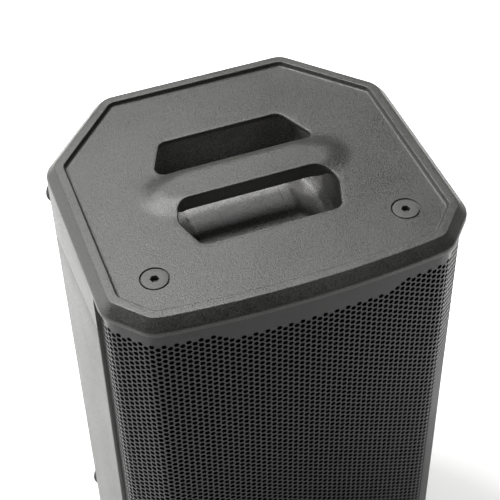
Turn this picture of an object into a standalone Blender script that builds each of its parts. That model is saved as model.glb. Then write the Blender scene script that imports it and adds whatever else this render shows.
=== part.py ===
"""Powered two-way PA loudspeaker cabinet with a carrying handle in its top.

The origin is at the middle of the footprint, at floor level. The front faces -Y.
"""

import math

import bmesh
import bpy
from mathutils import Matrix, Vector

# ---- enclosure ----
HEIGHT = 0.490
RIM_SIDE_X = 0.1375
RIM_SIDE_FRONT_Y = -0.0919
RIM_SIDE_REAR_X = 0.1370
RIM_SIDE_REAR_Y = 0.0619
RIM_REAR_X = 0.0774
RIM_REAR_Y = 0.1259
RIM_FRONT_X = 0.1133
RIM_FRONT_Y = -0.1188
FRONT_BOW = 0.0071
CORNER_RADIUS = 0.011
CORNER_STEPS = 3
SHOULDER = 0.0075
RIM_WIDTH = 0.0070
RECESS_DEPTH = 0.0040
CAP_THICKNESS = 0.0040
WALL = 0.0045
FRONT_BAND = 0.013
PANEL_FRONT_Y = -0.0737
TOP_SEAM_Z = 0.430
SEAM_SLOPE = 1.0 / 6.0
BASE_SEAM_Z = 0.036
BASE_BOTTOM_Z = 0.006
BASE_THICKNESS = 0.005
GAP = 0.0003

# ---- handle ----
SLOT_BAR_REAR_Y = 0.0231
SLOT_REAR_Y = 0.0611
SLOT_BAR_FRONT_Y = -0.0092
SLOT_FRONT_Y = -0.0592
SLOT_HALF = 0.066
SLOT_WIDEST_Y = -0.0300
SLOT_END = 0.0565
BAR_Y = 0.0070
BAR_HALF_WIDTH = 0.0161
BAR_DEPTH = 0.0145
CUP_FLOOR_Z = 0.430
CUP_SADDLE_Z = 0.445
CUP_WALL = 0.0025
CUP_HALF = 0.0755
CUP_REAR_Y = 0.0665
CUP_FRONT_Y = -0.0645

# ---- top screws ----
SCREW_X = 0.0995
SCREW_Y = -0.0789
SCREW_HEAD_RADIUS = 0.0102
SCREW_SHANK_RADIUS = 0.0050
SCREW_LENGTH = 0.030

# ---- feet ----
BASE_FOOT_RADIUS = 0.016
BASE_FOOT_X = 0.108
BASE_FOOT_FRONT_Y = -0.088
BASE_FOOT_REAR_X = 0.078
BASE_FOOT_REAR_Y = 0.088
MONITOR_FOOT_RADIUS = 0.0115
MONITOR_FOOT_HEIGHT = 0.0105
MONITOR_FOOT_UPPER_Z = 0.446
MONITOR_FOOT_LOWER_Z = 0.052
MONITOR_FOOT_ALONG = 0.19
MONITOR_FOOT_BACK_ALONG = 0.77

# ---- front ----
GRILLE_OFFSET = 0.0040
GRILLE_THICKNESS = 0.0012
FOAM_THICKNESS = 0.0025
BAFFLE_FACE_Y = -0.1104
BAFFLE_THICKNESS = 0.009

# ---- woofer ----
WOOFER_Z = 0.148
WOOFER_FRAME_RADIUS = 0.105
WOOFER_CUTOUT_RADIUS = 0.0935

# ---- horn ----
HORN_Z = 0.335
HORN_HALF_WIDTH = 0.095
HORN_HALF_HEIGHT = 0.060
HORN_FLANGE_MARGIN = 0.012
HORN_DEPTH = 0.074
THROAT_RADIUS = 0.013

# ---- ports ----
PORT_X = 0.084
PORT_Z = 0.044
PORT_RADIUS = 0.0245
PORT_LENGTH = 0.090

# ---- control panel on the back ----
TRAY_HALF_WIDTH = 0.071
TRAY_BOTTOM_Z = 0.101
TRAY_TOP_Z = 0.404
TRAY_FLOOR_Y = 0.1146
TRAY_REAR_Y = 0.1330
PANEL_HALF_WIDTH = 0.0675
PANEL_BOTTOM_Z = 0.1045
PANEL_TOP_Z = 0.4005
PANEL_THICKNESS = 0.003
PANEL_FACE_Y = 0.1179
JACK_Z = 0.305
KNOB_Z = 0.268
COLUMN_X = 0.040
MENU_Z = 0.372
BUTTON_Z = 0.345
MAINS_Z = 0.130
MAINS_X = 0.034


def clear_scene():
    for obj in list(bpy.data.objects):
        bpy.data.objects.remove(obj, do_unlink=True)


def make_collection(name):
    collection = bpy.data.collections.new(name)
    bpy.context.scene.collection.children.link(collection)
    return collection


clear_scene()
PARTS = make_collection("pa_loudspeaker")
CUTTERS = make_collection("cutters")


def material(name, colour, roughness, metallic=0.0):
    made = bpy.data.materials.new(name)
    made.use_nodes = True
    shader = made.node_tree.nodes["Principled BSDF"]
    shader.inputs["Base Color"].default_value = (*colour, 1.0)
    shader.inputs["Roughness"].default_value = roughness
    shader.inputs["Metallic"].default_value = metallic
    made.diffuse_color = (*colour, 1.0)
    return made


def finish(obj, colour, roughness, metallic=0.0):
    """Gives a part its own material."""
    obj.data.materials.append(material(obj.name, colour, roughness, metallic))
    return obj


def add_object(name, mesh, collection):
    obj = bpy.data.objects.new(name, mesh)
    collection.objects.link(obj)
    if collection is CUTTERS:
        obj.hide_render = True
        obj.display_type = "WIRE"
    return obj


def mesh_object(name, shape, collection, smooth_angle=35.0):
    """Turns a bmesh into an object, with its faces pointing out."""
    bmesh.ops.recalc_face_normals(shape, faces=shape.faces)
    mesh = bpy.data.meshes.new(name)
    shape.to_mesh(mesh)
    shape.free()
    if mesh.polygons:
        mesh.shade_smooth()
        mesh.set_sharp_from_angle(angle=math.radians(smooth_angle))
    return add_object(name, mesh, collection)


def boolean(obj, other, operation="DIFFERENCE"):
    modifier = obj.modifiers.new(operation.title(), "BOOLEAN")
    modifier.operation = operation
    modifier.solver = "EXACT"
    modifier.object = other
    return obj


def bevel(obj, width, segments=1, angle=40.0):
    modifier = obj.modifiers.new("Bevel", "BEVEL")
    modifier.width = width
    modifier.segments = segments
    modifier.limit_method = "ANGLE"
    modifier.angle_limit = math.radians(angle)
    return obj


def box(name, low, high, collection=None):
    """A box between two corners, with its origin at its middle."""
    size = [b - a for a, b in zip(low, high)]
    shape = bmesh.new()
    bmesh.ops.create_cube(shape, size=1.0)
    bmesh.ops.scale(shape, vec=size, verts=shape.verts)
    obj = mesh_object(name, shape, collection or PARTS)
    obj.location = [(a + b) / 2 for a, b in zip(low, high)]
    return obj


def cylinder(name, radius, low, high, segments=24, collection=None):
    """A cylinder between two points that differ along one axis."""
    start = Vector(low)
    end = Vector(high)
    shape = bmesh.new()
    bmesh.ops.create_cone(
        shape,
        cap_ends=True,
        segments=segments,
        radius1=radius,
        radius2=radius,
        depth=(end - start).length,
    )
    obj = mesh_object(name, shape, collection or PARTS)
    obj.location = (start + end) / 2
    obj.rotation_euler = (end - start).to_track_quat("Z", "Y").to_euler()
    return obj


def turned(name, profile, segments=32, collection=None):
    """A turned shape: points (radius, height), closed on themselves or through the axis."""
    area = 0.0
    for (r0, h0), (r1, h1) in zip(profile, profile[1:] + profile[:1]):
        area += r0 * h1 - r1 * h0
    points = list(profile) if area < 0 else list(reversed(profile))
    on_axis = min(r for r, _ in points) < 1e-9
    if on_axis:
        while not (points[0][0] < 1e-9 and points[-1][0] < 1e-9):
            points = points[1:] + points[:1]
    shape = bmesh.new()
    verts = [shape.verts.new((r, 0.0, h)) for r, h in points]
    for a, b in zip(verts, verts[1:]):
        shape.edges.new((a, b))
    if not on_axis:
        shape.edges.new((verts[-1], verts[0]))
    mesh = bpy.data.meshes.new(name)
    shape.to_mesh(mesh)
    shape.free()
    obj = add_object(name, mesh, collection or PARTS)
    screw = obj.modifiers.new("Screw", "SCREW")
    screw.steps = segments
    screw.render_steps = segments
    screw.use_merge_vertices = True
    screw.merge_threshold = 0.00001
    return obj


def facing_front(obj, x, y, z):
    """Turns local +Z to the front."""
    obj.rotation_euler = (math.pi / 2, 0.0, 0.0)
    obj.location = (x, y, z)
    return obj


def facing_rear(obj, x, y, z):
    """Turns local +Z to the back."""
    obj.rotation_euler = (-math.pi / 2, 0.0, 0.0)
    obj.location = (x, y, z)
    return obj


def round_corners(corners, steps):
    """Rounds a closed outline of (x, y, radius)."""
    result = []
    count = len(corners)
    for i in range(count):
        point = Vector(corners[i][:2])
        radius = corners[i][2]
        if radius <= 0.0:
            result.append(tuple(point))
            continue
        before = (Vector(corners[i - 1][:2]) - point).normalized()
        after = (Vector(corners[(i + 1) % count][:2]) - point).normalized()
        half = before.angle(after) / 2
        centre = point + (before + after).normalized() * (radius / math.sin(half))
        start = point + before * (radius / math.tan(half)) - centre
        end = point + after * (radius / math.tan(half)) - centre
        turn = start.angle_signed(end)
        for step in range(steps + 1):
            angle = -turn * step / steps
            spoke = Vector((
                start.x * math.cos(angle) - start.y * math.sin(angle),
                start.x * math.sin(angle) + start.y * math.cos(angle),
            ))
            result.append(tuple(centre + spoke))
    return result


def rim_corners():
    """The rim's outer corners, anticlockwise from the right front, with their radii."""
    bow_radius = (RIM_FRONT_X**2 + FRONT_BOW**2) / (2 * FRONT_BOW)
    corners = [
        (RIM_SIDE_X, RIM_SIDE_FRONT_Y, CORNER_RADIUS),
        (RIM_SIDE_REAR_X, RIM_SIDE_REAR_Y, CORNER_RADIUS),
        (RIM_REAR_X, RIM_REAR_Y, CORNER_RADIUS),
        (-RIM_REAR_X, RIM_REAR_Y, CORNER_RADIUS),
        (-RIM_SIDE_REAR_X, RIM_SIDE_REAR_Y, CORNER_RADIUS),
        (-RIM_SIDE_X, RIM_SIDE_FRONT_Y, CORNER_RADIUS),
        (-RIM_FRONT_X, RIM_FRONT_Y, CORNER_RADIUS),
    ]
    for i in range(1, 6):
        x = RIM_FRONT_X * (i / 3 - 1)
        y = RIM_FRONT_Y - FRONT_BOW + bow_radius - math.sqrt(bow_radius**2 - x * x)
        corners.append((x, y, 0.0))
    corners.append((RIM_FRONT_X, RIM_FRONT_Y, CORNER_RADIUS))
    return corners


def offset_corners(corners, distance):
    """Moves each side of a convex anticlockwise outline outwards."""
    moved = []
    count = len(corners)
    for i in range(count):
        before = Vector(corners[i - 1][:2])
        point = Vector(corners[i][:2])
        after = Vector(corners[(i + 1) % count][:2])
        first = (point - before).normalized()
        second = (after - point).normalized()
        normal_a = Vector((first.y, -first.x))
        normal_b = Vector((second.y, -second.x))
        mitre = (normal_a + normal_b) / (1.0 + normal_a.dot(normal_b))
        place = point + mitre * distance
        radius = corners[i][2]
        if radius > 0.0:
            radius = max(radius + distance, 0.002)
        moved.append((place.x, place.y, radius))
    return moved


def outline(distance):
    """The octagonal plan at a distance outside the rim."""
    return round_corners(offset_corners(rim_corners(), distance), CORNER_STEPS)


def loft(name, rings, collection=None, closed=False):
    """Skins rings of equal count, capped at both ends or closed into a loop."""
    shape = bmesh.new()
    rows = [[shape.verts.new(point) for point in ring] for ring in rings]
    count = len(rows[0])
    pairs = list(zip(rows, rows[1:]))
    if closed:
        pairs.append((rows[-1], rows[0]))
    for low, high in pairs:
        for i in range(count):
            j = (i + 1) % count
            shape.faces.new((low[i], low[j], high[j], high[i]))
    if not closed:
        shape.faces.new(rows[0])
        shape.faces.new(rows[-1])
    return mesh_object(name, shape, collection or PARTS)


def stacked(name, steps, collection=None):
    """A loft of the octagonal plan through (distance outside the rim, height)."""
    rings = [[(x, y, z) for x, y in outline(distance)] for distance, z in steps]
    return loft(name, rings, collection)


def prism(name, points, low, high, collection=None):
    """A flat outline in plan, drawn up from one height to another."""
    shape = bmesh.new()
    face = shape.faces.new([shape.verts.new((x, y, low)) for x, y in points])
    grown = bmesh.ops.extrude_face_region(shape, geom=[face])["geom"]
    verts = [item for item in grown if isinstance(item, bmesh.types.BMVert)]
    bmesh.ops.translate(shape, vec=(0.0, 0.0, high - low), verts=verts)
    return mesh_object(name, shape, collection or PARTS)


def rounded_plate(name, x, z, half_x, half_z, radius, low, high, collection=None):
    """An upright plate with rounded corners, from one depth to another."""
    corners = [
        (x + half_x, z - half_z, radius),
        (x + half_x, z + half_z, radius),
        (x - half_x, z + half_z, radius),
        (x - half_x, z - half_z, radius),
    ]
    shape = bmesh.new()
    points = round_corners(corners, 3)
    face = shape.faces.new([shape.verts.new((px, low, pz)) for px, pz in points])
    grown = bmesh.ops.extrude_face_region(shape, geom=[face])["geom"]
    verts = [item for item in grown if isinstance(item, bmesh.types.BMVert)]
    bmesh.ops.translate(shape, vec=(0.0, high - low, 0.0), verts=verts)
    return mesh_object(name, shape, collection or PARTS)


def wall(name, path, bottom, top, thickness):
    """An open wall along a plan path, thickened inwards; bottom and top are heights by y."""
    shape = bmesh.new()
    low = [shape.verts.new((x, y, bottom(y))) for x, y in path]
    high = [shape.verts.new((x, y, top(y))) for x, y in path]
    for i in range(len(path) - 1):
        shape.faces.new((low[i], low[i + 1], high[i + 1], high[i]))
    mesh = bpy.data.meshes.new(name)
    shape.to_mesh(mesh)
    shape.free()
    mesh.shade_smooth()
    mesh.set_sharp_from_angle(angle=math.radians(35.0))
    obj = add_object(name, mesh, PARTS)
    solid = obj.modifiers.new("Solidify", "SOLIDIFY")
    solid.thickness = thickness
    solid.offset = -1.0
    solid.use_even_offset = True
    return obj


def top_seam(y):
    return TOP_SEAM_Z - SEAM_SLOPE * y


# ---------------------------------------------------------------- enclosure


def slot_points(front):
    """The plan of a handle slot, anticlockwise."""
    if front:
        corners = [
            (SLOT_HALF, SLOT_WIDEST_Y, 0.014),
            (SLOT_HALF - 0.006, SLOT_BAR_FRONT_Y, 0.0125),
            (-SLOT_HALF + 0.006, SLOT_BAR_FRONT_Y, 0.0125),
            (-SLOT_HALF, SLOT_WIDEST_Y, 0.014),
            (-SLOT_END, SLOT_FRONT_Y, 0.009),
            (SLOT_END, SLOT_FRONT_Y, 0.009),
        ]
    else:
        corners = [
            (SLOT_HALF + 0.0025, SLOT_BAR_REAR_Y, 0.006),
            (SLOT_END - 0.0055, SLOT_REAR_Y, 0.008),
            (-SLOT_END + 0.0055, SLOT_REAR_Y, 0.008),
            (-SLOT_HALF - 0.0025, SLOT_BAR_REAR_Y, 0.006),
        ]
    return round_corners(corners, 4)


def screw_clearance(x):
    """The hole a countersunk screw passes through."""
    top = HEIGHT - RECESS_DEPTH
    profile = [
        (0.0, top + 0.004),
        (SCREW_HEAD_RADIUS + 0.0011, top + 0.004),
        (SCREW_HEAD_RADIUS + 0.0011, top - 0.0010),
        (SCREW_HEAD_RADIUS + 0.0005, top - 0.0010),
        (SCREW_SHANK_RADIUS + 0.0005, top - 0.0062),
        (SCREW_SHANK_RADIUS + 0.0005, top - 0.0400),
        (0.0, top - 0.0400),
    ]
    obj = turned("screw_clearance", profile, 24, CUTTERS)
    obj.location = (x, SCREW_Y, 0.0)
    return obj


def make_bar():
    """The grip bar: a crowned section that fades into the panel at both ends."""
    recess = HEIGHT - RECESS_DEPTH
    stations = [
        (-0.0860, 0.0075, recess - 0.0006, recess - 0.0030),
        (-0.0760, 0.0125, recess + 0.0018, recess - 0.0032),
        (-0.0670, 0.0150, recess + 0.0033, recess - 0.0034),
        (-0.0625, BAR_HALF_WIDTH, HEIGHT - 0.0005, HEIGHT - BAR_DEPTH),
        (0.0, BAR_HALF_WIDTH, HEIGHT, HEIGHT - BAR_DEPTH),
    ]
    stations += [(-x, w, t, b) for x, w, t, b in reversed(stations[:-1])]
    rings = []
    for x, half, top, bottom in stations:
        crown = 0.35 * (top - bottom)
        ring = [(x, BAR_Y - half * 0.92, bottom), (x, BAR_Y + half * 0.92, bottom)]
        for step in range(9):
            angle = math.pi * step / 8
            y = BAR_Y + half * math.cos(angle)
            ring.append((x, y, top - crown + crown * math.sin(angle)))
        rings.append(ring)
    return loft("bar", rings, CUTTERS)


def make_top_cap():
    top = HEIGHT
    recess = HEIGHT - RECESS_DEPTH
    cap = stacked("top_cap", [
        (SHOULDER, 0.395),
        (SHOULDER, top - SHOULDER - 0.0012),
        (SHOULDER - 0.0006, top - SHOULDER + 0.0006),
        (0.0006, top - 0.0004),
        (-0.0010, top),
        (-RIM_WIDTH, top),
        (-RIM_WIDTH - 0.0008, top - 0.0008),
        (-RIM_WIDTH - 0.0022, recess + 0.0009),
        (-RIM_WIDTH - 0.0042, recess),
    ])
    hollow = stacked("cap_hollow", [
        (SHOULDER - WALL, 0.380),
        (SHOULDER - WALL, recess - CAP_THICKNESS - 0.0040),
        (-0.0030, recess - CAP_THICKNESS),
    ], CUTTERS)
    boolean(cap, hollow)
    front = box(
        "cap_front_cut",
        (-0.20, -0.20, 0.30),
        (0.20, PANEL_FRONT_Y, HEIGHT - FRONT_BAND),
        CUTTERS,
    )
    boolean(cap, front)
    wedge = box("cap_skirt_cut", (-0.20, -0.30, -0.20), (0.20, 0.30, 0.0), CUTTERS)
    wedge.data.transform(Matrix.Translation((0.0, 0.0, -0.10)))
    wedge.location = (0.0, 0.0, TOP_SEAM_Z + 0.00015)
    wedge.rotation_euler = (-math.atan(SEAM_SLOPE), 0.0, 0.0)
    boolean(cap, wedge)
    for name, is_front in (("front_slot", True), ("rear_slot", False)):
        slot = prism(name, slot_points(is_front), 0.46, 0.51, CUTTERS)
        boolean(cap, slot)
    boolean(cap, make_bar(), "UNION")
    for x in (-SCREW_X, SCREW_X):
        boolean(cap, screw_clearance(x))
    return finish(cap, (0.17, 0.17, 0.165), 0.62)


def cup_outline(grow):
    corners = [
        (CUP_HALF + grow, -0.0270, 0.020),
        (CUP_HALF - 0.002 + grow, 0.0225, 0.020),
        (CUP_HALF - 0.015 + grow, CUP_REAR_Y + grow, 0.014),
        (-CUP_HALF + 0.015 - grow, CUP_REAR_Y + grow, 0.014),
        (-CUP_HALF + 0.002 - grow, 0.0225, 0.020),
        (-CUP_HALF - grow, -0.0270, 0.020),
        (-CUP_HALF + 0.014 - grow, CUP_FRONT_Y - grow, 0.014),
        (CUP_HALF - 0.014 + grow, CUP_FRONT_Y - grow, 0.014),
    ]
    return round_corners(corners, 3)


def make_saddle():
    """The raised middle of the pocket's floor, between a deeper well at each end."""
    levels = [
        (0.0475, -0.0510, 0.0530, CUP_FLOOR_Z + 0.0012),
        (0.0450, -0.0545, 0.0565, CUP_FLOOR_Z + 0.0060),
        (0.0425, -0.0590, 0.0610, CUP_SADDLE_Z),
    ]
    rings = [
        [(-half, front, z), (half, front, z), (half, rear, z), (-half, rear, z)]
        for half, front, rear, z in levels
    ]
    return loft("saddle", rings, CUTTERS)


def make_handle_cup():
    """The closed pocket under the grip bar."""
    top = HEIGHT - RECESS_DEPTH - CAP_THICKNESS - GAP
    steps = [
        (0.0070, top),
        (0.0070, top - 0.0025),
        (0.0, top - 0.0028),
        (-0.0030, CUP_FLOOR_Z + 0.0130),
        (-0.0065, CUP_FLOOR_Z + 0.0040),
        (-0.0150, CUP_FLOOR_Z),
    ]
    rings = [[(x, y, z) for x, y in cup_outline(grow)] for grow, z in steps]
    cup = loft("handle_cup", rings)
    inside = [
        (-CUP_WALL, top + 0.010),
        (-CUP_WALL, top - 0.0028),
        (-CUP_WALL - 0.0030, CUP_FLOOR_Z + 0.0135),
        (-CUP_WALL - 0.0065, CUP_FLOOR_Z + 0.0060),
        (-CUP_WALL - 0.0150, CUP_FLOOR_Z + 0.0025),
    ]
    rings = [[(x, y, z) for x, y in cup_outline(grow)] for grow, z in inside]
    boolean(cup, loft("cup_hollow", rings, CUTTERS))
    boolean(cup, make_saddle(), "UNION")
    under = box("saddle_hollow", (-0.040, -0.048, 0.420), (0.040, 0.050, CUP_SADDLE_Z - CUP_WALL), CUTTERS)
    boolean(cup, under)
    return finish(cup, (0.14, 0.14, 0.135), 0.6)


def make_shell():
    """Sides and back in one moulding, open at the front."""
    corners = offset_corners(rim_corners(), SHOULDER)
    side = [(corners[0][0], PANEL_FRONT_Y, 0.0)]
    path = side + corners[1:5] + [(-side[0][0], PANEL_FRONT_Y, 0.0)]
    points = round_corners(path, CORNER_STEPS)
    shell = wall(
        "cabinet_shell",
        points,
        lambda y: BASE_SEAM_Z + GAP / 2,
        lambda y: top_seam(y) - GAP / 2,
        WALL,
    )
    opening = box(
        "rear_opening",
        (-TRAY_HALF_WIDTH - GAP, 0.09, TRAY_BOTTOM_Z - GAP),
        (TRAY_HALF_WIDTH + GAP, 0.15, TRAY_TOP_Z + GAP),
        CUTTERS,
    )
    boolean(shell, opening)
    return finish(shell, (0.17, 0.17, 0.165), 0.62)


def make_base_cap():
    bottom = BASE_BOTTOM_Z
    base = stacked("base_cap", [
        (-0.0010, bottom),
        (0.0006, bottom + 0.0004),
        (SHOULDER - 0.0006, bottom + SHOULDER - 0.0006),
        (SHOULDER, bottom + SHOULDER + 0.0012),
        (SHOULDER, BASE_SEAM_Z - GAP / 2),
    ])
    hollow = stacked("base_hollow", [
        (-0.0030, bottom + BASE_THICKNESS),
        (SHOULDER - WALL, bottom + BASE_THICKNESS + 0.0040),
        (SHOULDER - WALL, BASE_SEAM_Z + 0.02),
    ], CUTTERS)
    boolean(base, hollow)
    front = box(
        "base_front_cut",
        (-0.20, -0.20, bottom + FRONT_BAND),
        (0.20, PANEL_FRONT_Y, 0.10),
        CUTTERS,
    )
    boolean(base, front)
    bore = cylinder(
        "pole_bore", 0.0246, (0.0, 0.026, -0.02), (0.0, 0.026, 0.06), 24, CUTTERS
    )
    boolean(base, bore)
    return finish(base, (0.13, 0.13, 0.128), 0.65)


def make_pole_socket():
    """A cup for a 35 mm stand pole, open below."""
    bottom = BASE_BOTTOM_Z - 0.0008
    under = BASE_BOTTOM_Z + BASE_THICKNESS + GAP
    profile = [
        (0.0184, bottom + 0.0015),
        (0.0196, bottom),
        (0.0240, bottom),
        (0.0240, under),
        (0.0360, under),
        (0.0360, under + 0.0040),
        (0.0225, under + 0.0060),
        (0.0215, 0.0880),
        (0.0, 0.0880),
        (0.0, 0.0850),
        (0.0182, 0.0850),
    ]
    socket = turned("pole_socket", profile, 24)
    socket.location = (0.0, 0.026, 0.0)
    return finish(socket, (0.05, 0.05, 0.05), 0.55)


def make_top_screw(name, x):
    top = HEIGHT - RECESS_DEPTH
    profile = [
        (0.0, top),
        (SCREW_HEAD_RADIUS, top),
        (SCREW_HEAD_RADIUS, top - 0.0010),
        (SCREW_SHANK_RADIUS, top - 0.0062),
        (SCREW_SHANK_RADIUS, top - SCREW_LENGTH + 0.001),
        (SCREW_SHANK_RADIUS - 0.001, top - SCREW_LENGTH),
        (0.0, top - SCREW_LENGTH),
    ]
    screw = turned(name, profile, 24)
    screw.location = (x, SCREW_Y, 0.0)
    socket = cylinder(
        "hex_socket", 0.0036, (x, SCREW_Y, top - 0.0045), (x, SCREW_Y, top + 0.002), 6, CUTTERS
    )
    boolean(screw, socket)
    return finish(screw, (0.42, 0.42, 0.41), 0.45, 0.6)


def make_fixing_block(name, x):
    """The threaded block behind the top panel that a screw holds in."""
    top = HEIGHT - RECESS_DEPTH - CAP_THICKNESS - GAP
    block = box(name, (x - 0.014, SCREW_Y - 0.014, top - 0.022), (x + 0.014, SCREW_Y + 0.014, top))
    bevel(block, 0.0015)
    boolean(block, screw_clearance(x))
    return finish(block, (0.50, 0.50, 0.48), 0.4, 0.9)


def make_base_foot(name, x, y):
    top = BASE_BOTTOM_Z - GAP
    profile = [
        (0.0, top),
        (BASE_FOOT_RADIUS, top),
        (BASE_FOOT_RADIUS - 0.0010, 0.0012),
        (BASE_FOOT_RADIUS - 0.0022, 0.0),
        (0.0040, 0.0),
        (0.0040, 0.0025),
        (0.0, 0.0025),
    ]
    foot = turned(name, profile, 18)
    foot.location = (x, y, 0.0)
    return finish(foot, (0.03, 0.03, 0.03), 0.85)


def make_monitor_foot(name, along, z):
    """A rubber dome on the left rear chamfer, for lying the cabinet down."""
    corners = offset_corners(rim_corners(), SHOULDER)
    start = Vector(corners[4][:2])
    end = Vector(corners[3][:2])
    direction = (end - start).normalized()
    outward = Vector((-direction.y, direction.x))
    length = (end - start).length
    place = start + direction * (along * length)
    radius = MONITOR_FOOT_RADIUS
    height = MONITOR_FOOT_HEIGHT
    profile = [(0.0, GAP), (radius, GAP), (radius, 0.0020)]
    for step in (1, 2, 3):
        angle = math.radians(24 * step)
        flat = 0.0045
        r = flat + (radius - flat) * math.cos(angle)
        profile.append((r, 0.0020 + (height - 0.0020) * math.sin(angle)))
    profile += [(0.0035, height), (0.0, height)]
    foot = turned(name, profile, 20)
    foot.location = (place.x, place.y, z)
    foot.rotation_euler = Vector((outward.x, outward.y, 0.0)).to_track_quat("Z", "Y").to_euler()
    return finish(foot, (0.05, 0.05, 0.05), 0.8)


def front_path(distance, rear_y):
    """The plan of the front and its chamfers, from left to right."""
    corners = offset_corners(rim_corners(), distance)
    left = (corners[5][0], corners[5][1], 0.020)
    right = (corners[0][0], corners[0][1], 0.020)
    path = [(left[0], rear_y, 0.0), left] + corners[6:] + [right, (right[0], rear_y, 0.0)]
    return round_corners(path, CORNER_STEPS)


def make_grille():
    """The perforated steel sheet; its holes are too fine for this solid."""
    low = BASE_BOTTOM_Z + FRONT_BAND + GAP
    high = HEIGHT - FRONT_BAND - GAP
    grille = wall(
        "grille",
        front_path(GRILLE_OFFSET, PANEL_FRONT_Y - GAP),
        lambda y: low,
        lambda y: high,
        GRILLE_THICKNESS,
    )
    return finish(grille, (0.02, 0.02, 0.02), 0.45, 0.4)


def make_grille_foam():
    low = BASE_BOTTOM_Z + FRONT_BAND + 0.002
    high = HEIGHT - FRONT_BAND - 0.002
    foam = wall(
        "grille_foam",
        front_path(GRILLE_OFFSET - GRILLE_THICKNESS - 0.0004, PANEL_FRONT_Y - 0.006),
        lambda y: low,
        lambda y: high,
        FOAM_THICKNESS,
    )
    return finish(foam, (0.01, 0.01, 0.01), 0.95)


def make_baffle():
    face = BAFFLE_FACE_Y
    back = face + BAFFLE_THICKNESS
    half = 0.110
    edge = PANEL_FRONT_Y - GAP
    points = [
        (half - 0.004, back), (0.1300, edge), (0.1365, edge), (0.1365, edge - 0.004),
        (half, face), (-half, face), (-0.1365, edge - 0.004), (-0.1365, edge),
        (-0.1300, edge), (-half + 0.004, back),
    ]
    low = BASE_BOTTOM_Z + BASE_THICKNESS + 0.0045
    high = HEIGHT - RECESS_DEPTH - CAP_THICKNESS - 0.0045
    baffle = prism("front_baffle", points, low, high)
    woofer_hole = cylinder(
        "woofer_hole", WOOFER_CUTOUT_RADIUS, (0.0, face - 0.02, WOOFER_Z),
        (0.0, back + 0.02, WOOFER_Z), 36, CUTTERS,
    )
    boolean(baffle, woofer_hole)
    horn_hole = box(
        "horn_hole",
        (-HORN_HALF_WIDTH - 0.0045, face - 0.02, HORN_Z - HORN_HALF_HEIGHT - 0.0045),
        (HORN_HALF_WIDTH + 0.0045, back + 0.02, HORN_Z + HORN_HALF_HEIGHT + 0.0045),
        CUTTERS,
    )
    boolean(baffle, horn_hole)
    for x in (-PORT_X, PORT_X):
        port_hole = cylinder(
            "port_hole", PORT_RADIUS - 0.0027, (x, face - 0.02, PORT_Z), (x, back + 0.02, PORT_Z),
            20, CUTTERS,
        )
        boolean(baffle, port_hole)
    return finish(baffle, (0.05, 0.05, 0.05), 0.7)


# ---------------------------------------------------------------- woofer


def woofer_piece(name, profile, segments=28):
    """A turned piece on the woofer's axis; height 0 is the baffle's face."""
    return facing_front(turned(name, profile, segments), 0.0, BAFFLE_FACE_Y, WOOFER_Z)


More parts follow.
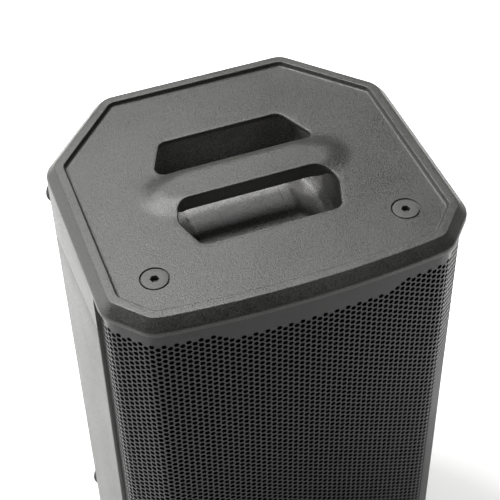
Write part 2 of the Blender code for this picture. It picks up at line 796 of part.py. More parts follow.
def make_woofer():
    basket = woofer_piece("woofer_basket", [
        (0.0900, 0.0035),
        (WOOFER_FRAME_RADIUS, 0.0035),
        (WOOFER_FRAME_RADIUS, GAP),
        (0.0925, GAP),
        (0.0915, -0.0110),
        (0.0620, -0.0520),
        (0.0560, -0.0640),
        (0.0540, -0.0720),
        (0.0300, -0.0720),
        (0.0300, -0.0690),
        (0.0520, -0.0690),
        (0.0535, -0.0640),
        (0.0600, -0.0500),
        (0.0890, -0.0090),
    ], 28)
    for index in range(4):
        angle = math.pi / 4 + index * math.pi / 2
        window = box("basket_window", (-0.0230, -0.016, -0.016), (0.0230, 0.016, 0.016), CUTTERS)
        reach = 0.0770
        window.location = (
            reach * math.cos(angle),
            BAFFLE_FACE_Y + 0.0310,
            WOOFER_Z + reach * math.sin(angle),
        )
        window.rotation_euler = (0.0, math.pi / 2 - angle, 0.0)
        boolean(basket, window)
    finish(basket, (0.06, 0.06, 0.06), 0.5, 0.5)
    surround_profile = []
    for step in range(6):
        angle = math.pi * step / 5
        surround_profile.append((0.0815 + 0.0062 * math.cos(angle), 0.0005 + 0.0062 * math.sin(angle)))
    for step in range(6):
        angle = math.pi - math.pi * step / 5
        surround_profile.append((0.0815 + 0.0052 * math.cos(angle), 0.0004 + 0.0052 * math.sin(angle)))
    finish(woofer_piece("woofer_surround", surround_profile), (0.02, 0.02, 0.02), 0.7)
    finish(woofer_piece("woofer_cone", [
        (0.0748, 0.0012),
        (0.0748, 0.0000),
        (0.0560, -0.0170),
        (0.0212, -0.0375),
        (0.0212, -0.0388),
        (0.0204, -0.0388),
        (0.0204, -0.0362),
        (0.0552, -0.0155),
        (0.0738, 0.0012),
    ]), (0.04, 0.04, 0.04), 0.8)
    dome = [(0.0300, -0.0292), (0.0300, -0.0284)]
    for step in (1, 2, 3):
        angle = math.radians(22.0 * step)
        dome.append((0.0300 * math.cos(angle), -0.0284 + 0.0120 * math.sin(angle)))
    dome += [(0.0, -0.0164), (0.0, -0.0174)]
    for step in (3, 2, 1, 0):
        angle = math.radians(22.0 * step)
        dome.append((0.0292 * math.cos(angle), -0.0292 + 0.0118 * math.sin(angle)))
    finish(woofer_piece("woofer_dust_cap", dome), (0.03, 0.03, 0.03), 0.6)
    waves = 6
    top_line = []
    for step in range(waves + 1):
        radius = 0.0216 + (0.0505 - 0.0216) * step / waves
        top_line.append((radius, -0.0460 + 0.0012 * math.cos(step * math.pi)))
    bottom_line = [(r, h - 0.0007) for r, h in reversed(top_line)]
    finish(woofer_piece("woofer_spider", top_line + bottom_line), (0.45, 0.33, 0.15), 0.9)
    finish(woofer_piece("woofer_voice_coil", [
        (0.0206, -0.0390), (0.0206, -0.0800), (0.0196, -0.0800), (0.0196, -0.0390),
    ]), (0.45, 0.22, 0.08), 0.4, 0.8)
    finish(woofer_piece("woofer_top_plate", [
        (0.0215, -0.0724), (0.0570, -0.0724), (0.0570, -0.0790), (0.0215, -0.0790),
    ]), (0.30, 0.30, 0.30), 0.4, 0.9)
    finish(woofer_piece("woofer_magnet", [
        (0.0290, -0.0794), (0.0600, -0.0794), (0.0600, -0.0960), (0.0290, -0.0960),
    ]), (0.08, 0.08, 0.08), 0.6, 0.2)
    finish(woofer_piece("woofer_back_plate", [
        (0.0, -0.0724), (0.0185, -0.0724), (0.0185, -0.0964), (0.0570, -0.0964),
        (0.0570, -0.1030), (0.0, -0.1030),
    ]), (0.30, 0.30, 0.30), 0.4, 0.9)


# ---------------------------------------------------------------- horn


def horn_ring(y, half_width, half_height, power, count=28):
    ring = []
    for step in range(count):
        angle = 2 * math.pi * (step + 0.5) / count
        c = math.cos(angle)
        s = math.sin(angle)
        x = half_width * math.copysign(abs(c) ** (2 / power), c)
        z = half_height * math.copysign(abs(s) ** (2 / power), s)
        ring.append((x, y, HORN_Z + z))
    return ring


def make_horn():
    face = BAFFLE_FACE_Y
    w = HORN_HALF_WIDTH
    h = HORN_HALF_HEIGHT
    m = HORN_FLANGE_MARGIN
    back = face + HORN_DEPTH
    rings = [
        horn_ring(face - 0.0042, w + m, h + m, 14),
        horn_ring(face - GAP, w + m, h + m, 14),
        horn_ring(face - GAP, w + 0.002, h + 0.002, 10),
        horn_ring(face + 0.0150, w * 0.80, h * 0.82, 6),
        horn_ring(face + 0.0450, 0.0300, 0.0280, 3),
        horn_ring(back - 0.0030, THROAT_RADIUS + 0.004, THROAT_RADIUS + 0.004, 2),
        horn_ring(back - 0.0030, 0.0350, 0.0350, 2),
        horn_ring(back, 0.0350, 0.0350, 2),
        horn_ring(back, THROAT_RADIUS, THROAT_RADIUS, 2),
        horn_ring(face + 0.0440, 0.0265, 0.0245, 3),
        horn_ring(face + 0.0140, w * 0.76, h * 0.77, 6),
        horn_ring(face - 0.0042, w - 0.003, h - 0.003, 10),
    ]
    finish(loft("horn", rings, closed=True), (0.04, 0.04, 0.04), 0.5)
    driver = turned("compression_driver", [
        (THROAT_RADIUS, 0.0), (0.0430, 0.0), (0.0440, -0.0020), (0.0440, -0.0360),
        (0.0, -0.0360), (0.0, -0.0120), (THROAT_RADIUS * 0.8, -0.0120),
    ], 28)
    finish(facing_front(driver, 0.0, back + GAP, HORN_Z), (0.10, 0.10, 0.10), 0.45, 0.5)
    cover = turned("driver_cover", [
        (0.0, -0.0363), (0.0380, -0.0363), (0.0375, -0.0480), (0.0330, -0.0520), (0.0, -0.0520),
    ], 28)
    finish(facing_front(cover, 0.0, back + GAP, HORN_Z), (0.05, 0.05, 0.05), 0.6)


def make_port(name, x):
    inner = PORT_RADIUS - 0.0055
    profile = [
        (PORT_RADIUS, 0.0022),
        (PORT_RADIUS, GAP),
        (PORT_RADIUS - 0.0030, GAP),
        (PORT_RADIUS - 0.0030, -PORT_LENGTH),
        (inner, -PORT_LENGTH),
        (inner, -0.0100),
        (inner + 0.0012, -0.0030),
        (inner + 0.0038, 0.0022),
    ]
    tube = facing_front(turned(name, profile, 20), x, BAFFLE_FACE_Y, PORT_Z)
    return finish(tube, (0.03, 0.03, 0.03), 0.6)


# ---------------------------------------------------------------- control panel


def make_tray():
    """The recess in the back that the control panel sits in."""
    tray = box(
        "control_tray",
        (-TRAY_HALF_WIDTH, TRAY_FLOOR_Y - 0.0030, TRAY_BOTTOM_Z),
        (TRAY_HALF_WIDTH, TRAY_REAR_Y, TRAY_TOP_Z),
    )
    inner = TRAY_HALF_WIDTH - 0.0030
    recess = box(
        "tray_recess",
        (-inner, TRAY_FLOOR_Y, TRAY_BOTTOM_Z + 0.003),
        (inner, TRAY_REAR_Y + 0.02, TRAY_TOP_Z - 0.003),
        CUTTERS,
    )
    boolean(tray, recess)
    through = box(
        "tray_window",
        (-inner + 0.005, TRAY_FLOOR_Y - 0.02, TRAY_BOTTOM_Z + 0.009),
        (inner - 0.005, TRAY_FLOOR_Y + 0.02, TRAY_TOP_Z - 0.009),
        CUTTERS,
    )
    boolean(tray, through)
    return finish(tray, (0.12, 0.12, 0.118), 0.65)


def panel_hole(panel, radius, x, z, segments=24):
    hole = cylinder(
        "panel_hole", radius, (x, PANEL_FACE_Y - 0.02, z), (x, PANEL_FACE_Y + 0.02, z), segments, CUTTERS
    )
    boolean(panel, hole)


def panel_window(panel, half_x, half_z, x, z):
    window = box(
        "panel_window",
        (x - half_x, PANEL_FACE_Y - 0.02, z - half_z),
        (x + half_x, PANEL_FACE_Y + 0.02, z + half_z),
        CUTTERS,
    )
    boolean(panel, window)


def make_panel():
    panel = box(
        "amp_panel",
        (-PANEL_HALF_WIDTH, PANEL_FACE_Y - PANEL_THICKNESS, PANEL_BOTTOM_Z),
        (PANEL_HALF_WIDTH, PANEL_FACE_Y, PANEL_TOP_Z),
    )
    for x in (-COLUMN_X, 0.0, COLUMN_X):
        panel_hole(panel, 0.0121, x, JACK_Z, 20)
    for x in (-COLUMN_X, 0.0):
        panel_hole(panel, 0.0036, x, KNOB_Z, 10)
    panel_hole(panel, 0.0057, COLUMN_X, KNOB_Z, 12)
    panel_hole(panel, 0.0036, 0.036, MENU_Z, 10)
    for x in (-COLUMN_X, -0.020):
        panel_hole(panel, 0.0041, x, BUTTON_Z, 12)
    for x in (0.028, 0.044):
        panel_hole(panel, 0.0028, x, BUTTON_Z, 10)
    for x in (-COLUMN_X, 0.0):
        panel_window(panel, 0.0040, 0.0030, x, JACK_Z + 0.0122)
    panel_window(panel, 0.0140, 0.0102, -MAINS_X, MAINS_Z)
    panel_window(panel, 0.0110, 0.0142, MAINS_X, MAINS_Z)
    return finish(panel, (0.045, 0.045, 0.045), 0.5, 0.3)


def make_heat_sink():
    """Vertical cooling fins on the panel."""
    low = PANEL_FACE_Y + GAP
    fins = 11
    half = 0.060
    pitch = 2 * half / fins
    points = [(-half, low), (half, low)]
    for index in reversed(range(fins)):
        centre = -half + pitch * (index + 0.5)
        points.append((centre + pitch * 0.5, low + 0.003))
        points.append((centre + 0.0014, low + 0.003))
        points.append((centre + 0.0009, low + 0.013))
        points.append((centre - 0.0009, low + 0.013))
        points.append((centre - 0.0014, low + 0.003))
    points.append((-half, low + 0.003))
    sink = prism("heat_sink", points, 0.160, 0.240)
    return finish(sink, (0.04, 0.04, 0.04), 0.4, 0.8)


def make_electronics():
    board = box("amp_board", (-0.058, 0.0880, 0.150), (0.058, 0.0896, 0.385))
    finish(board, (0.02, 0.12, 0.05), 0.5)
    supply = box("power_supply", (-0.050, 0.0500, 0.115), (0.050, 0.0876, 0.200))
    bevel(supply, 0.003)
    finish(supply, (0.55, 0.55, 0.55), 0.35, 0.9)
    for name, x in (("capacitor_1", -0.030), ("capacitor_2", 0.010)):
        can = turned(name, [
            (0.0, 0.0), (0.0150, 0.0), (0.0150, -0.0390), (0.0138, -0.0400), (0.0, -0.0400),
        ], 18)
        finish(facing_rear(can, x, 0.0876, 0.240), (0.03, 0.05, 0.20), 0.4, 0.2)


def make_combo(name, x):
    """A combined XLR and jack input: a flange and a round body with its two sockets."""
    face = PANEL_FACE_Y + GAP
    body = turned(name, [
        (0.0, 0.0014), (0.0117, 0.0014), (0.0117, -0.0240), (0.0, -0.0240),
    ], 24)
    facing_rear(body, x, face, JACK_Z)
    flange = rounded_plate(
        name + "_flange", x, JACK_Z, 0.013, 0.0155, 0.0022, face, face + 0.0018, CUTTERS
    )
    boolean(body, flange, "UNION")
    ring = turned(name + "_ring", [
        (0.0076, 0.005), (0.0096, 0.005), (0.0096, -0.0150), (0.0076, -0.0150),
    ], 24, CUTTERS)
    facing_rear(ring, x, face, JACK_Z)
    boolean(body, ring)
    jack = cylinder(name + "_jack", 0.0034, (x, face - 0.020, JACK_Z), (x, face + 0.01, JACK_Z), 12, CUTTERS)
    boolean(body, jack)
    for angle in (90.0, 210.0, 330.0):
        px = x + 0.0055 * math.cos(math.radians(angle))
        pz = JACK_Z + 0.0055 * math.sin(math.radians(angle))
        pin = cylinder(name + "_pin", 0.0013, (px, face - 0.010, pz), (px, face + 0.01, pz), 8, CUTTERS)
        boolean(body, pin)
    notch = box(name + "_notch", (x - 0.0036, face - 0.0040, JACK_Z + 0.0102),
                (x + 0.0036, face + 0.01, JACK_Z + 0.0142), CUTTERS)
    boolean(body, notch)
    return finish(body, (0.03, 0.03, 0.03), 0.5)


def make_latch_tab(name, x):
    face = PANEL_FACE_Y + GAP
    tab = box(name, (x - 0.0033, face - 0.0020, JACK_Z + 0.0105), (x + 0.0033, face + 0.0036, JACK_Z + 0.0139))
    bevel(tab, 0.0004)
    return finish(tab, (0.45, 0.45, 0.45), 0.35, 0.9)


def make_link_output(x):
    face = PANEL_FACE_Y + GAP
    body = turned("link_output", [
        (0.0, 0.0014), (0.0117, 0.0014), (0.0117, -0.0220), (0.0, -0.0220),
    ], 24)
    facing_rear(body, x, face, JACK_Z)
    flange = rounded_plate(
        "link_flange", x, JACK_Z, 0.013, 0.0155, 0.0022, face, face + 0.0018, CUTTERS
    )
    boolean(body, flange, "UNION")
    bore = cylinder("link_bore", 0.0093, (x, face - 0.016, JACK_Z), (x, face + 0.01, JACK_Z), 24, CUTTERS)
    boolean(body, bore)
    for angle in (90.0, 210.0, 330.0):
        px = x + 0.0050 * math.cos(math.radians(angle))
        pz = JACK_Z + 0.0050 * math.sin(math.radians(angle))
        pin = cylinder("link_pin", 0.0012, (px, face - 0.019, pz), (px, face - 0.004, pz), 8, CUTTERS)
        boolean(body, pin, "UNION")
    return finish(body, (0.03, 0.03, 0.03), 0.5)


def make_aux_socket():
    socket = turned("aux_socket", [
        (0.0018, 0.0020), (0.0062, 0.0020), (0.0070, 0.0012), (0.0070, 0.0),
        (0.0053, 0.0), (0.0053, -0.0120), (0.0018, -0.0120),
    ], 16)
    facing_rear(socket, COLUMN_X, PANEL_FACE_Y + GAP, KNOB_Z)
    return finish(socket, (0.35, 0.35, 0.35), 0.35, 0.9)


def make_knob(name, radius, height, x, z, flutes):
    """A rotary knob with its shaft, gripped by flutes and marked by a groove."""
    profile = [
        (0.0, height), (radius - 0.0012, height), (radius - 0.0002, height - 0.0012),
        (radius, 0.0006), (0.0030, 0.0006), (0.0030, -0.0080), (0.0, -0.0080),
    ]
    knob = facing_rear(turned(name, profile, 24), x, PANEL_FACE_Y, z)
    groove = box(name + "_mark", (x - 0.0005, PANEL_FACE_Y + height - 0.0006, z + radius * 0.25),
                 (x + 0.0005, PANEL_FACE_Y + height + 0.003, z + radius * 1.2), CUTTERS)
    boolean(knob, groove)
    for index in range(flutes):
        angle = 2 * math.pi * (index + 0.5) / flutes + math.pi / 2
        cx = x + (radius + 0.0006) * math.cos(angle)
        cz = z + (radius + 0.0006) * math.sin(angle)
        flute = cylinder(name + "_flute", 0.0014, (cx, PANEL_FACE_Y + 0.002, cz),
                         (cx, PANEL_FACE_Y + height + 0.003, cz), 8, CUTTERS)
        boolean(knob, flute)
    return finish(knob, (0.03, 0.03, 0.03), 0.55)


def make_button(name, x):
    profile = [
        (0.0, 0.0032), (0.0030, 0.0032), (0.0036, 0.0026), (0.0036, -0.0060), (0.0, -0.0060),
    ]
    button = facing_rear(turned(name, profile, 14), x, PANEL_FACE_Y, BUTTON_Z)
    return finish(button, (0.06, 0.06, 0.06), 0.6)


def make_light(name, x, colour):
    profile = [(0.0, 0.0014), (0.0012, 0.0012), (0.0023, 0.0), (0.0023, -0.0050), (0.0, -0.0050)]
    light = facing_rear(turned(name, profile, 10), x, PANEL_FACE_Y, BUTTON_Z)
    return finish(light, colour, 0.2)


def make_display():
    face = PANEL_FACE_Y + GAP
    window = rounded_plate(
        "display_window", -0.032, MENU_Z, 0.024, 0.015, 0.0020, face, face + 0.0022
    )
    return finish(window, (0.01, 0.012, 0.015), 0.1)


def make_mains_inlet():
    """A three-pin mains inlet with its cavity open to the back."""
    face = PANEL_FACE_Y + GAP
    x = -MAINS_X
    flange = rounded_plate(
        "mains_inlet", x, MAINS_Z, 0.0245, 0.0115, 0.0030, face, face + 0.0020
    )
    body = box("inlet_body", (x - 0.0136, face - 0.0220, MAINS_Z - 0.0098),
               (x + 0.0136, face + 0.0010, MAINS_Z + 0.0098), CUTTERS)
    boolean(flange, body, "UNION")
    cavity = box("inlet_cavity", (x - 0.0120, face - 0.0170, MAINS_Z - 0.0082),
                 (x + 0.0120, face + 0.0100, MAINS_Z + 0.0082), CUTTERS)
    boolean(flange, cavity)
    for px, pz in ((-0.0070, -0.0020), (0.0070, -0.0020), (0.0, 0.0030)):
        pin = box("inlet_pin", (x + px - 0.0010, face - 0.0185, MAINS_Z + pz - 0.0020),
                  (x + px + 0.0010, face - 0.0030, MAINS_Z + pz + 0.0020), CUTTERS)
        boolean(flange, pin, "UNION")
    return finish(flange, (0.02, 0.02, 0.02), 0.45)


def make_rocker_frame():
    face = PANEL_FACE_Y + GAP
    x = MAINS_X
    frame = rounded_plate(
        "rocker_frame", x, MAINS_Z, 0.0125, 0.0160, 0.0015, face, face + 0.0020
    )
    body = box("rocker_body", (x - 0.0106, face - 0.0200, MAINS_Z - 0.0138),
               (x + 0.0106, face + 0.0010, MAINS_Z + 0.0138), CUTTERS)
    boolean(frame, body, "UNION")
    cavity = box("rocker_cavity", (x - 0.0082, face - 0.0140, MAINS_Z - 0.0122),
                 (x + 0.0082, face + 0.0100, MAINS_Z + 0.0122), CUTTERS)
    boolean(frame, cavity)
    return finish(frame, (0.025, 0.025, 0.025), 0.5)


def make_rocker():
    """The rocker's section, tipped to its off position about a pivot inside the frame."""
    tip = math.radians(9.0)
    section = [(-0.0105, 0.0058), (0.0, 0.0040), (0.0105, 0.0058), (0.0098, -0.0020),
               (0.0030, -0.0050), (-0.0030, -0.0050), (-0.0098, -0.0020)]
    shape = bmesh.new()
    low = [shape.verts.new((-0.0077, out, up)) for up, out in section]
    face = shape.faces.new(low)
    grown = bmesh.ops.extrude_face_region(shape, geom=[face])["geom"]
    verts = [item for item in grown if isinstance(item, bmesh.types.BMVert)]
    bmesh.ops.translate(shape, vec=(0.0154, 0.0, 0.0), verts=verts)
    rocker = mesh_object("power_rocker", shape, PARTS)
    rocker.location = (MAINS_X, PANEL_FACE_Y - 0.0018, MAINS_Z)
    rocker.rotation_euler = (tip, 0.0, 0.0)
    bevel(rocker, 0.0004, 1, 50.0)
    return finish(rocker, (0.02, 0.02, 0.02), 0.35)


def build():
    make_top_cap()
    make_handle_cup()
    make_shell()
    make_base_cap()
    make_pole_socket()
    make_baffle()
    make_grille()
    make_grille_foam()
    for side, x in (("left", -SCREW_X), ("right", SCREW_X)):
        make_top_screw("top_screw_" + side, x)
        make_fixing_block("fixing_block_" + side, x)
    for side, sign in (("left", -1.0), ("right", 1.0)):
        make_base_foot("base_foot_front_" + side, sign * BASE_FOOT_X, BASE_FOOT_FRONT_Y)
        make_base_foot("base_foot_rear_" + side, sign * BASE_FOOT_REAR_X, BASE_FOOT_REAR_Y)
        make_port("port_tube_" + side, sign * PORT_X)
    for level, z in (("upper", MONITOR_FOOT_UPPER_Z), ("lower", MONITOR_FOOT_LOWER_Z)):
        make_monitor_foot("monitor_foot_side_" + level, MONITOR_FOOT_ALONG, z)
        make_monitor_foot("monitor_foot_back_" + level, MONITOR_FOOT_BACK_ALONG, z)
    make_woofer()
    make_horn()
    make_tray()
    make_panel()
    make_heat_sink()
    make_electronics()
    for number, x in ((1, -COLUMN_X), (2, 0.0)):
        make_combo("combo_input_" + str(number), x)
        make_latch_tab("latch_tab_" + str(number), x)
        make_knob("level_knob_" + str(number), 0.0080, 0.0110, x, KNOB_Z, 6)
    make_link_output(COLUMN_X)
    make_aux_socket()
    make_knob("menu_encoder", 0.0125, 0.0125, 0.036, MENU_Z, 8)
    make_button("menu_button_1", -COLUMN_X)
    make_button("menu_button_2", -0.020)
    make_light("power_light", 0.028, (0.02, 0.45, 0.08))
    make_light("limit_light", 0.044, (0.55, 0.05, 0.03))
    make_display()
    make_mains_inlet()
    make_rocker_frame()
    make_rocker()


build()
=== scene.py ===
import bisect
import math

import bmesh
import bpy
from mathutils import Matrix, Vector, geometry, kdtree


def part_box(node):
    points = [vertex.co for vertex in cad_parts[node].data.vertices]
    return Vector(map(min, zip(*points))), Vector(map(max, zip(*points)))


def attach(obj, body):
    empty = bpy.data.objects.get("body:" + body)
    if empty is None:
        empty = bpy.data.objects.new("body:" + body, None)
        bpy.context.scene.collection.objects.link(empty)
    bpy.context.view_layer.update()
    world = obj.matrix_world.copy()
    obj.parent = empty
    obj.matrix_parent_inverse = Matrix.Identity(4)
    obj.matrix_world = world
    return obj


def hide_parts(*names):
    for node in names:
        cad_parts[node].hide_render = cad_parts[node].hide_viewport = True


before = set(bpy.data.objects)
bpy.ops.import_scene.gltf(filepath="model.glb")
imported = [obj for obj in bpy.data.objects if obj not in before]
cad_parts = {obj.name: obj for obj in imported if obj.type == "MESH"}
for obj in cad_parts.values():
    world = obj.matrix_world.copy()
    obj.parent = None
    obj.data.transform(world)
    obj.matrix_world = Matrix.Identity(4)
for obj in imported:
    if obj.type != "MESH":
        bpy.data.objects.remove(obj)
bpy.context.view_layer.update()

# ------------------------------------------------------------------ dimensions

HEIGHT = 0.490
BASE = 0.006  # underside of the base moulding, above the feet
SHOULDER = 0.0075  # how far the walls stand outside the rim's outer line
RIM = 0.0070  # width of the rim round the top panel
RECESS = HEIGHT - 0.0040  # the top panel's height, below the rim
WALL = 0.0045
FRONT_BAND = 0.013  # height of the two caps in front, above and below the grille
PANEL_FRONT_Y = -0.0737  # where the side walls end and the grille begins
BASE_SEAM = 0.036
TOP_SEAM = 0.430  # height of the upper seam at y = 0
TOP_SEAM_SLOPE = 1.0 / 6.0
SEAM_GAP = 0.0002  # from the upper seam's middle to either side of it
BASE_SEAM_GAP = 0.00015
EDGE = 0.0006  # the small rounding along the seams
BAR_Y = 0.0081  # the grip bar's middle line
SCREW = (0.0995, -0.0789)  # the right screw; the left one mirrors it

# The rim's outer line, anticlockwise. The side between the last two corners is the front: a shallow
# arc that stands BOW further out in its middle, and that leaves the right corner towards FRONT_AIM.
SIDE_X = 0.1375
CORNER = 0.0150
FRONT_CORNER = (0.1133, -0.1188)
FRONT_AIM = (0.075, -0.12145)
BOW = 0.0071
RIM_CORNERS = [
    (SIDE_X, -0.0919), (0.1370, 0.0619), (0.0774, 0.1259), (-0.0774, 0.1259),
    (-0.1370, 0.0619), (-SIDE_X, -0.0919), (-FRONT_CORNER[0], FRONT_CORNER[1]), FRONT_CORNER,
]


def smoothstep(a, b, x):
    t = min(1.0, max(0.0, (x - a) / (b - a)))
    return t * t * (3 - 2 * t)


# ------------------------------------------------------------------ outlines


def corner_arc(before, point, after, radius, steps):
    """(x, y, nx, ny) round one corner of an anticlockwise outline."""
    p = Vector(point)
    u = (Vector(before) - p).normalized()
    v = (Vector(after) - p).normalized()
    half = u.angle(v) / 2
    centre = p + (u + v).normalized() * (radius / math.sin(half))
    start = p + u * (radius / math.tan(half)) - centre
    end = p + v * (radius / math.tan(half)) - centre
    first = math.atan2(start.y, start.x)
    turn = math.atan2(end.y, end.x) - first
    turn = (turn + math.pi) % (2 * math.pi) - math.pi
    found = []
    for i in range(steps + 1):
        nx = math.cos(first + turn * i / steps)
        ny = math.sin(first + turn * i / steps)
        found.append((centre.x + radius * nx, centre.y + radius * ny, nx, ny))
    return found


def filled(points, pitch, split=None):
    """Adds points along the straight runs of a closed outline, and one each side of y = split."""
    clear = 0.0012  # from the split to the nearest other point
    apart = 0.00002  # from the split to the points on either side of it
    result = []
    for i, p in enumerate(points):
        q = points[(i + 1) % len(points)]
        result.append(p)
        length = math.hypot(q[0] - p[0], q[1] - p[1])
        if length < pitch * 1.2:
            continue
        places = [k / math.ceil(length / pitch) for k in range(1, math.ceil(length / pitch))]
        if split is not None and (p[1] - split) * (q[1] - split) < 0:
            t = (split - p[1]) / (q[1] - p[1])
            places = [k for k in places if abs(k - t) * length > clear]
            places += [t - apart / length, t + apart / length]
        for t in sorted(places):
            nx, ny = p[2] + (q[2] - p[2]) * t, p[3] + (q[3] - p[3]) * t
            size = math.hypot(nx, ny)
            result.append((p[0] + (q[0] - p[0]) * t, p[1] + (q[1] - p[1]) * t, nx / size, ny / size))
    return result


def front_arc(inset, count, clear):
    """(x, y, nx, ny) along the front from left to right, all at least clear inside its two corners."""
    half, y_corner = FRONT_CORNER
    radius = (half**2 + BOW**2) / (2 * BOW)
    points = []
    for i in range(1, count):
        x = -half + inset + (2 * half - 2 * inset) * i / count
        y = y_corner - BOW + radius - math.sqrt(radius**2 - x * x)
        if abs(x) < half - clear:
            points.append((x, y, x / radius, -math.sqrt(1 - (x / radius) ** 2)))
    return points


def plan(pitch):
    """The rim's outer line, anticlockwise, with outward normals, split where the side walls end."""
    steps = 12
    points = []
    for i in range(6):
        points += corner_arc(RIM_CORNERS[i - 1], RIM_CORNERS[i], RIM_CORNERS[i + 1], CORNER, steps)
    aim = (-FRONT_AIM[0], FRONT_AIM[1])
    points += corner_arc(RIM_CORNERS[5], RIM_CORNERS[6], aim, CORNER, steps)
    points += front_arc(0.0065, 40, 0.009)
    points += corner_arc(FRONT_AIM, FRONT_CORNER, RIM_CORNERS[0], CORNER, steps)
    return filled(points, pitch, PANEL_FRONT_Y)


def outline(corners, pitch):
    """A closed outline through corners (x, y, radius), with outward normals."""
    points = []
    for i, (x, y, radius) in enumerate(corners):
        after = corners[(i + 1) % len(corners)]
        points += corner_arc(corners[i - 1][:2], (x, y), after[:2], radius, 8)
    return filled(points, pitch)


def soften(points):
    """Rounds the inner corners of an open profile of (d, z, radius)."""
    steps = 6
    found = [points[0][:2]]
    for i in range(1, len(points) - 1):
        p = Vector(points[i][:2])
        radius = points[i][2]
        if radius <= 0:
            found.append(tuple(p))
            continue
        u = Vector(points[i - 1][:2]) - p
        v = Vector(points[i + 1][:2]) - p
        half = u.angle(v) / 2
        reach = min(radius / math.tan(half), u.length * 0.49, v.length * 0.49)
        a = p + u.normalized() * reach
        b = p + v.normalized() * reach
        for k in range(steps + 1):
            t = k / steps
            q = a * (1 - t) ** 2 + p * 2 * t * (1 - t) + b * t * t
            found.append(tuple(q))
    found.append(points[-1][:2])
    return found


# ------------------------------------------------------------------ mesh helpers


def smooth(mesh, angle):
    """Shades a mesh smooth, with a sharp edge wherever it turns by more than an angle in degrees."""
    mesh.shade_smooth()
    mesh.set_sharp_from_angle(angle=math.radians(angle))


def link(name, mesh, angle):
    """Puts a mesh in the scene as an object, shaded smooth."""
    obj = bpy.data.objects.new(name, mesh)
    bpy.context.scene.collection.objects.link(obj)
    smooth(mesh, angle)
    return obj


def from_lists(name, verts, faces, angle):
    """Makes an object from points and faces, in the order given."""
    mesh = bpy.data.meshes.new(name)
    mesh.from_pydata(verts, [], faces)
    mesh.validate()
    mesh.update()
    return link(name, mesh, angle)


def from_bmesh(name, shape, angle=30.0):
    """Makes an object from an edit mesh, with its normals facing out, and frees that mesh."""
    bmesh.ops.recalc_face_normals(shape, faces=shape.faces)
    mesh = bpy.data.meshes.new(name)
    shape.to_mesh(mesh)
    shape.free()
    return link(name, mesh, angle)


class Skin:
    """Collects points and faces, ring by ring."""

    def __init__(self):
        self.verts = []
        self.faces = []

    def ring(self, points):
        start = len(self.verts)
        self.verts += [tuple(p) for p in points]
        return list(range(start, start + len(points)))

    def loop(self, outline, out, z):
        """A level ring along an outline with normals, moved out by a distance."""
        return self.ring([(x + nx * out, y + ny * out, z) for x, y, nx, ny in outline])

    def round(self, x, y, radius, z, count):
        """A level circular ring."""
        turns = [2 * math.pi * k / count for k in range(count)]
        return self.ring([(x + radius * math.cos(a), y + radius * math.sin(a), z) for a in turns])

    def band(self, a, b, closed=True):
        n = len(a)
        for i in range(n if closed else n - 1):
            j = (i + 1) % n
            self.faces.append((a[i], a[j], b[j], b[i]))

    def bands(self, rows, closed=True):
        for a, b in zip(rows, rows[1:]):
            self.band(a, b, closed)

    def cap(self, a):
        self.faces.append(tuple(a))

    def to_object(self, name, angle):
        """Makes the object, with its normals facing out."""
        shape = bmesh.new()
        verts = [shape.verts.new(v) for v in self.verts]
        for face in self.faces:
            shape.faces.new([verts[i] for i in face])
        return from_bmesh(name, shape, angle)


def lathe(name, profile):
    """A turned piece about Z: points (radius, height), starting and ending on the axis."""
    segments = 48
    skin = Skin()
    rows = []
    for radius, height in profile:
        if radius == 0:
            rows.append(skin.ring([(0.0, 0.0, height)]) * segments)
        else:
            rows.append(skin.round(0.0, 0.0, radius, height, segments))
    for a, b in zip(rows, rows[1:]):
        for i in range(segments):
            j = (i + 1) % segments
            face = []
            for v in (a[i], a[j], b[j], b[i]):
                if v not in face:
                    face.append(v)
            if len(face) > 2:
                skin.faces.append(tuple(face))
    return skin.to_object(name, 40)


# ------------------------------------------------------------------ materials


def node(tree, kind, **values):
    """Adds a node; each value goes to the input of that name, or to the property."""
    made = tree.nodes.new(kind)
    for key, value in values.items():
        if key in made.inputs:
            made.inputs[key].default_value = value
        else:
            setattr(made, key, value)
    return made


def math_node(tree, operation, first, second, third=None):
    """A math node; each operand is an output to link or a number."""
    made = node(tree, "ShaderNodeMath", operation=operation)
    for i, value in enumerate((first, second, third)):
        if isinstance(value, (int, float)):
            made.inputs[i].default_value = value
        elif value is not None:
            tree.links.new(value, made.inputs[i])
    return made.outputs[0]


def ramp(tree, source, stops):
    """A colour ramp with stops (place, colour)."""
    made = tree.nodes.new("ShaderNodeValToRGB")
    made.color_ramp.elements[0].position = stops[0][0]
    made.color_ramp.elements[0].color = (*stops[0][1], 1)
    made.color_ramp.elements[1].position = stops[-1][0]
    made.color_ramp.elements[1].color = (*stops[-1][1], 1)
    for place, colour in stops[1:-1]:
        made.color_ramp.elements.new(place).color = (*colour, 1)
    tree.links.new(source, made.inputs["Fac"])
    return made.outputs["Color"]


def grey(v):
    return (v, v, v)


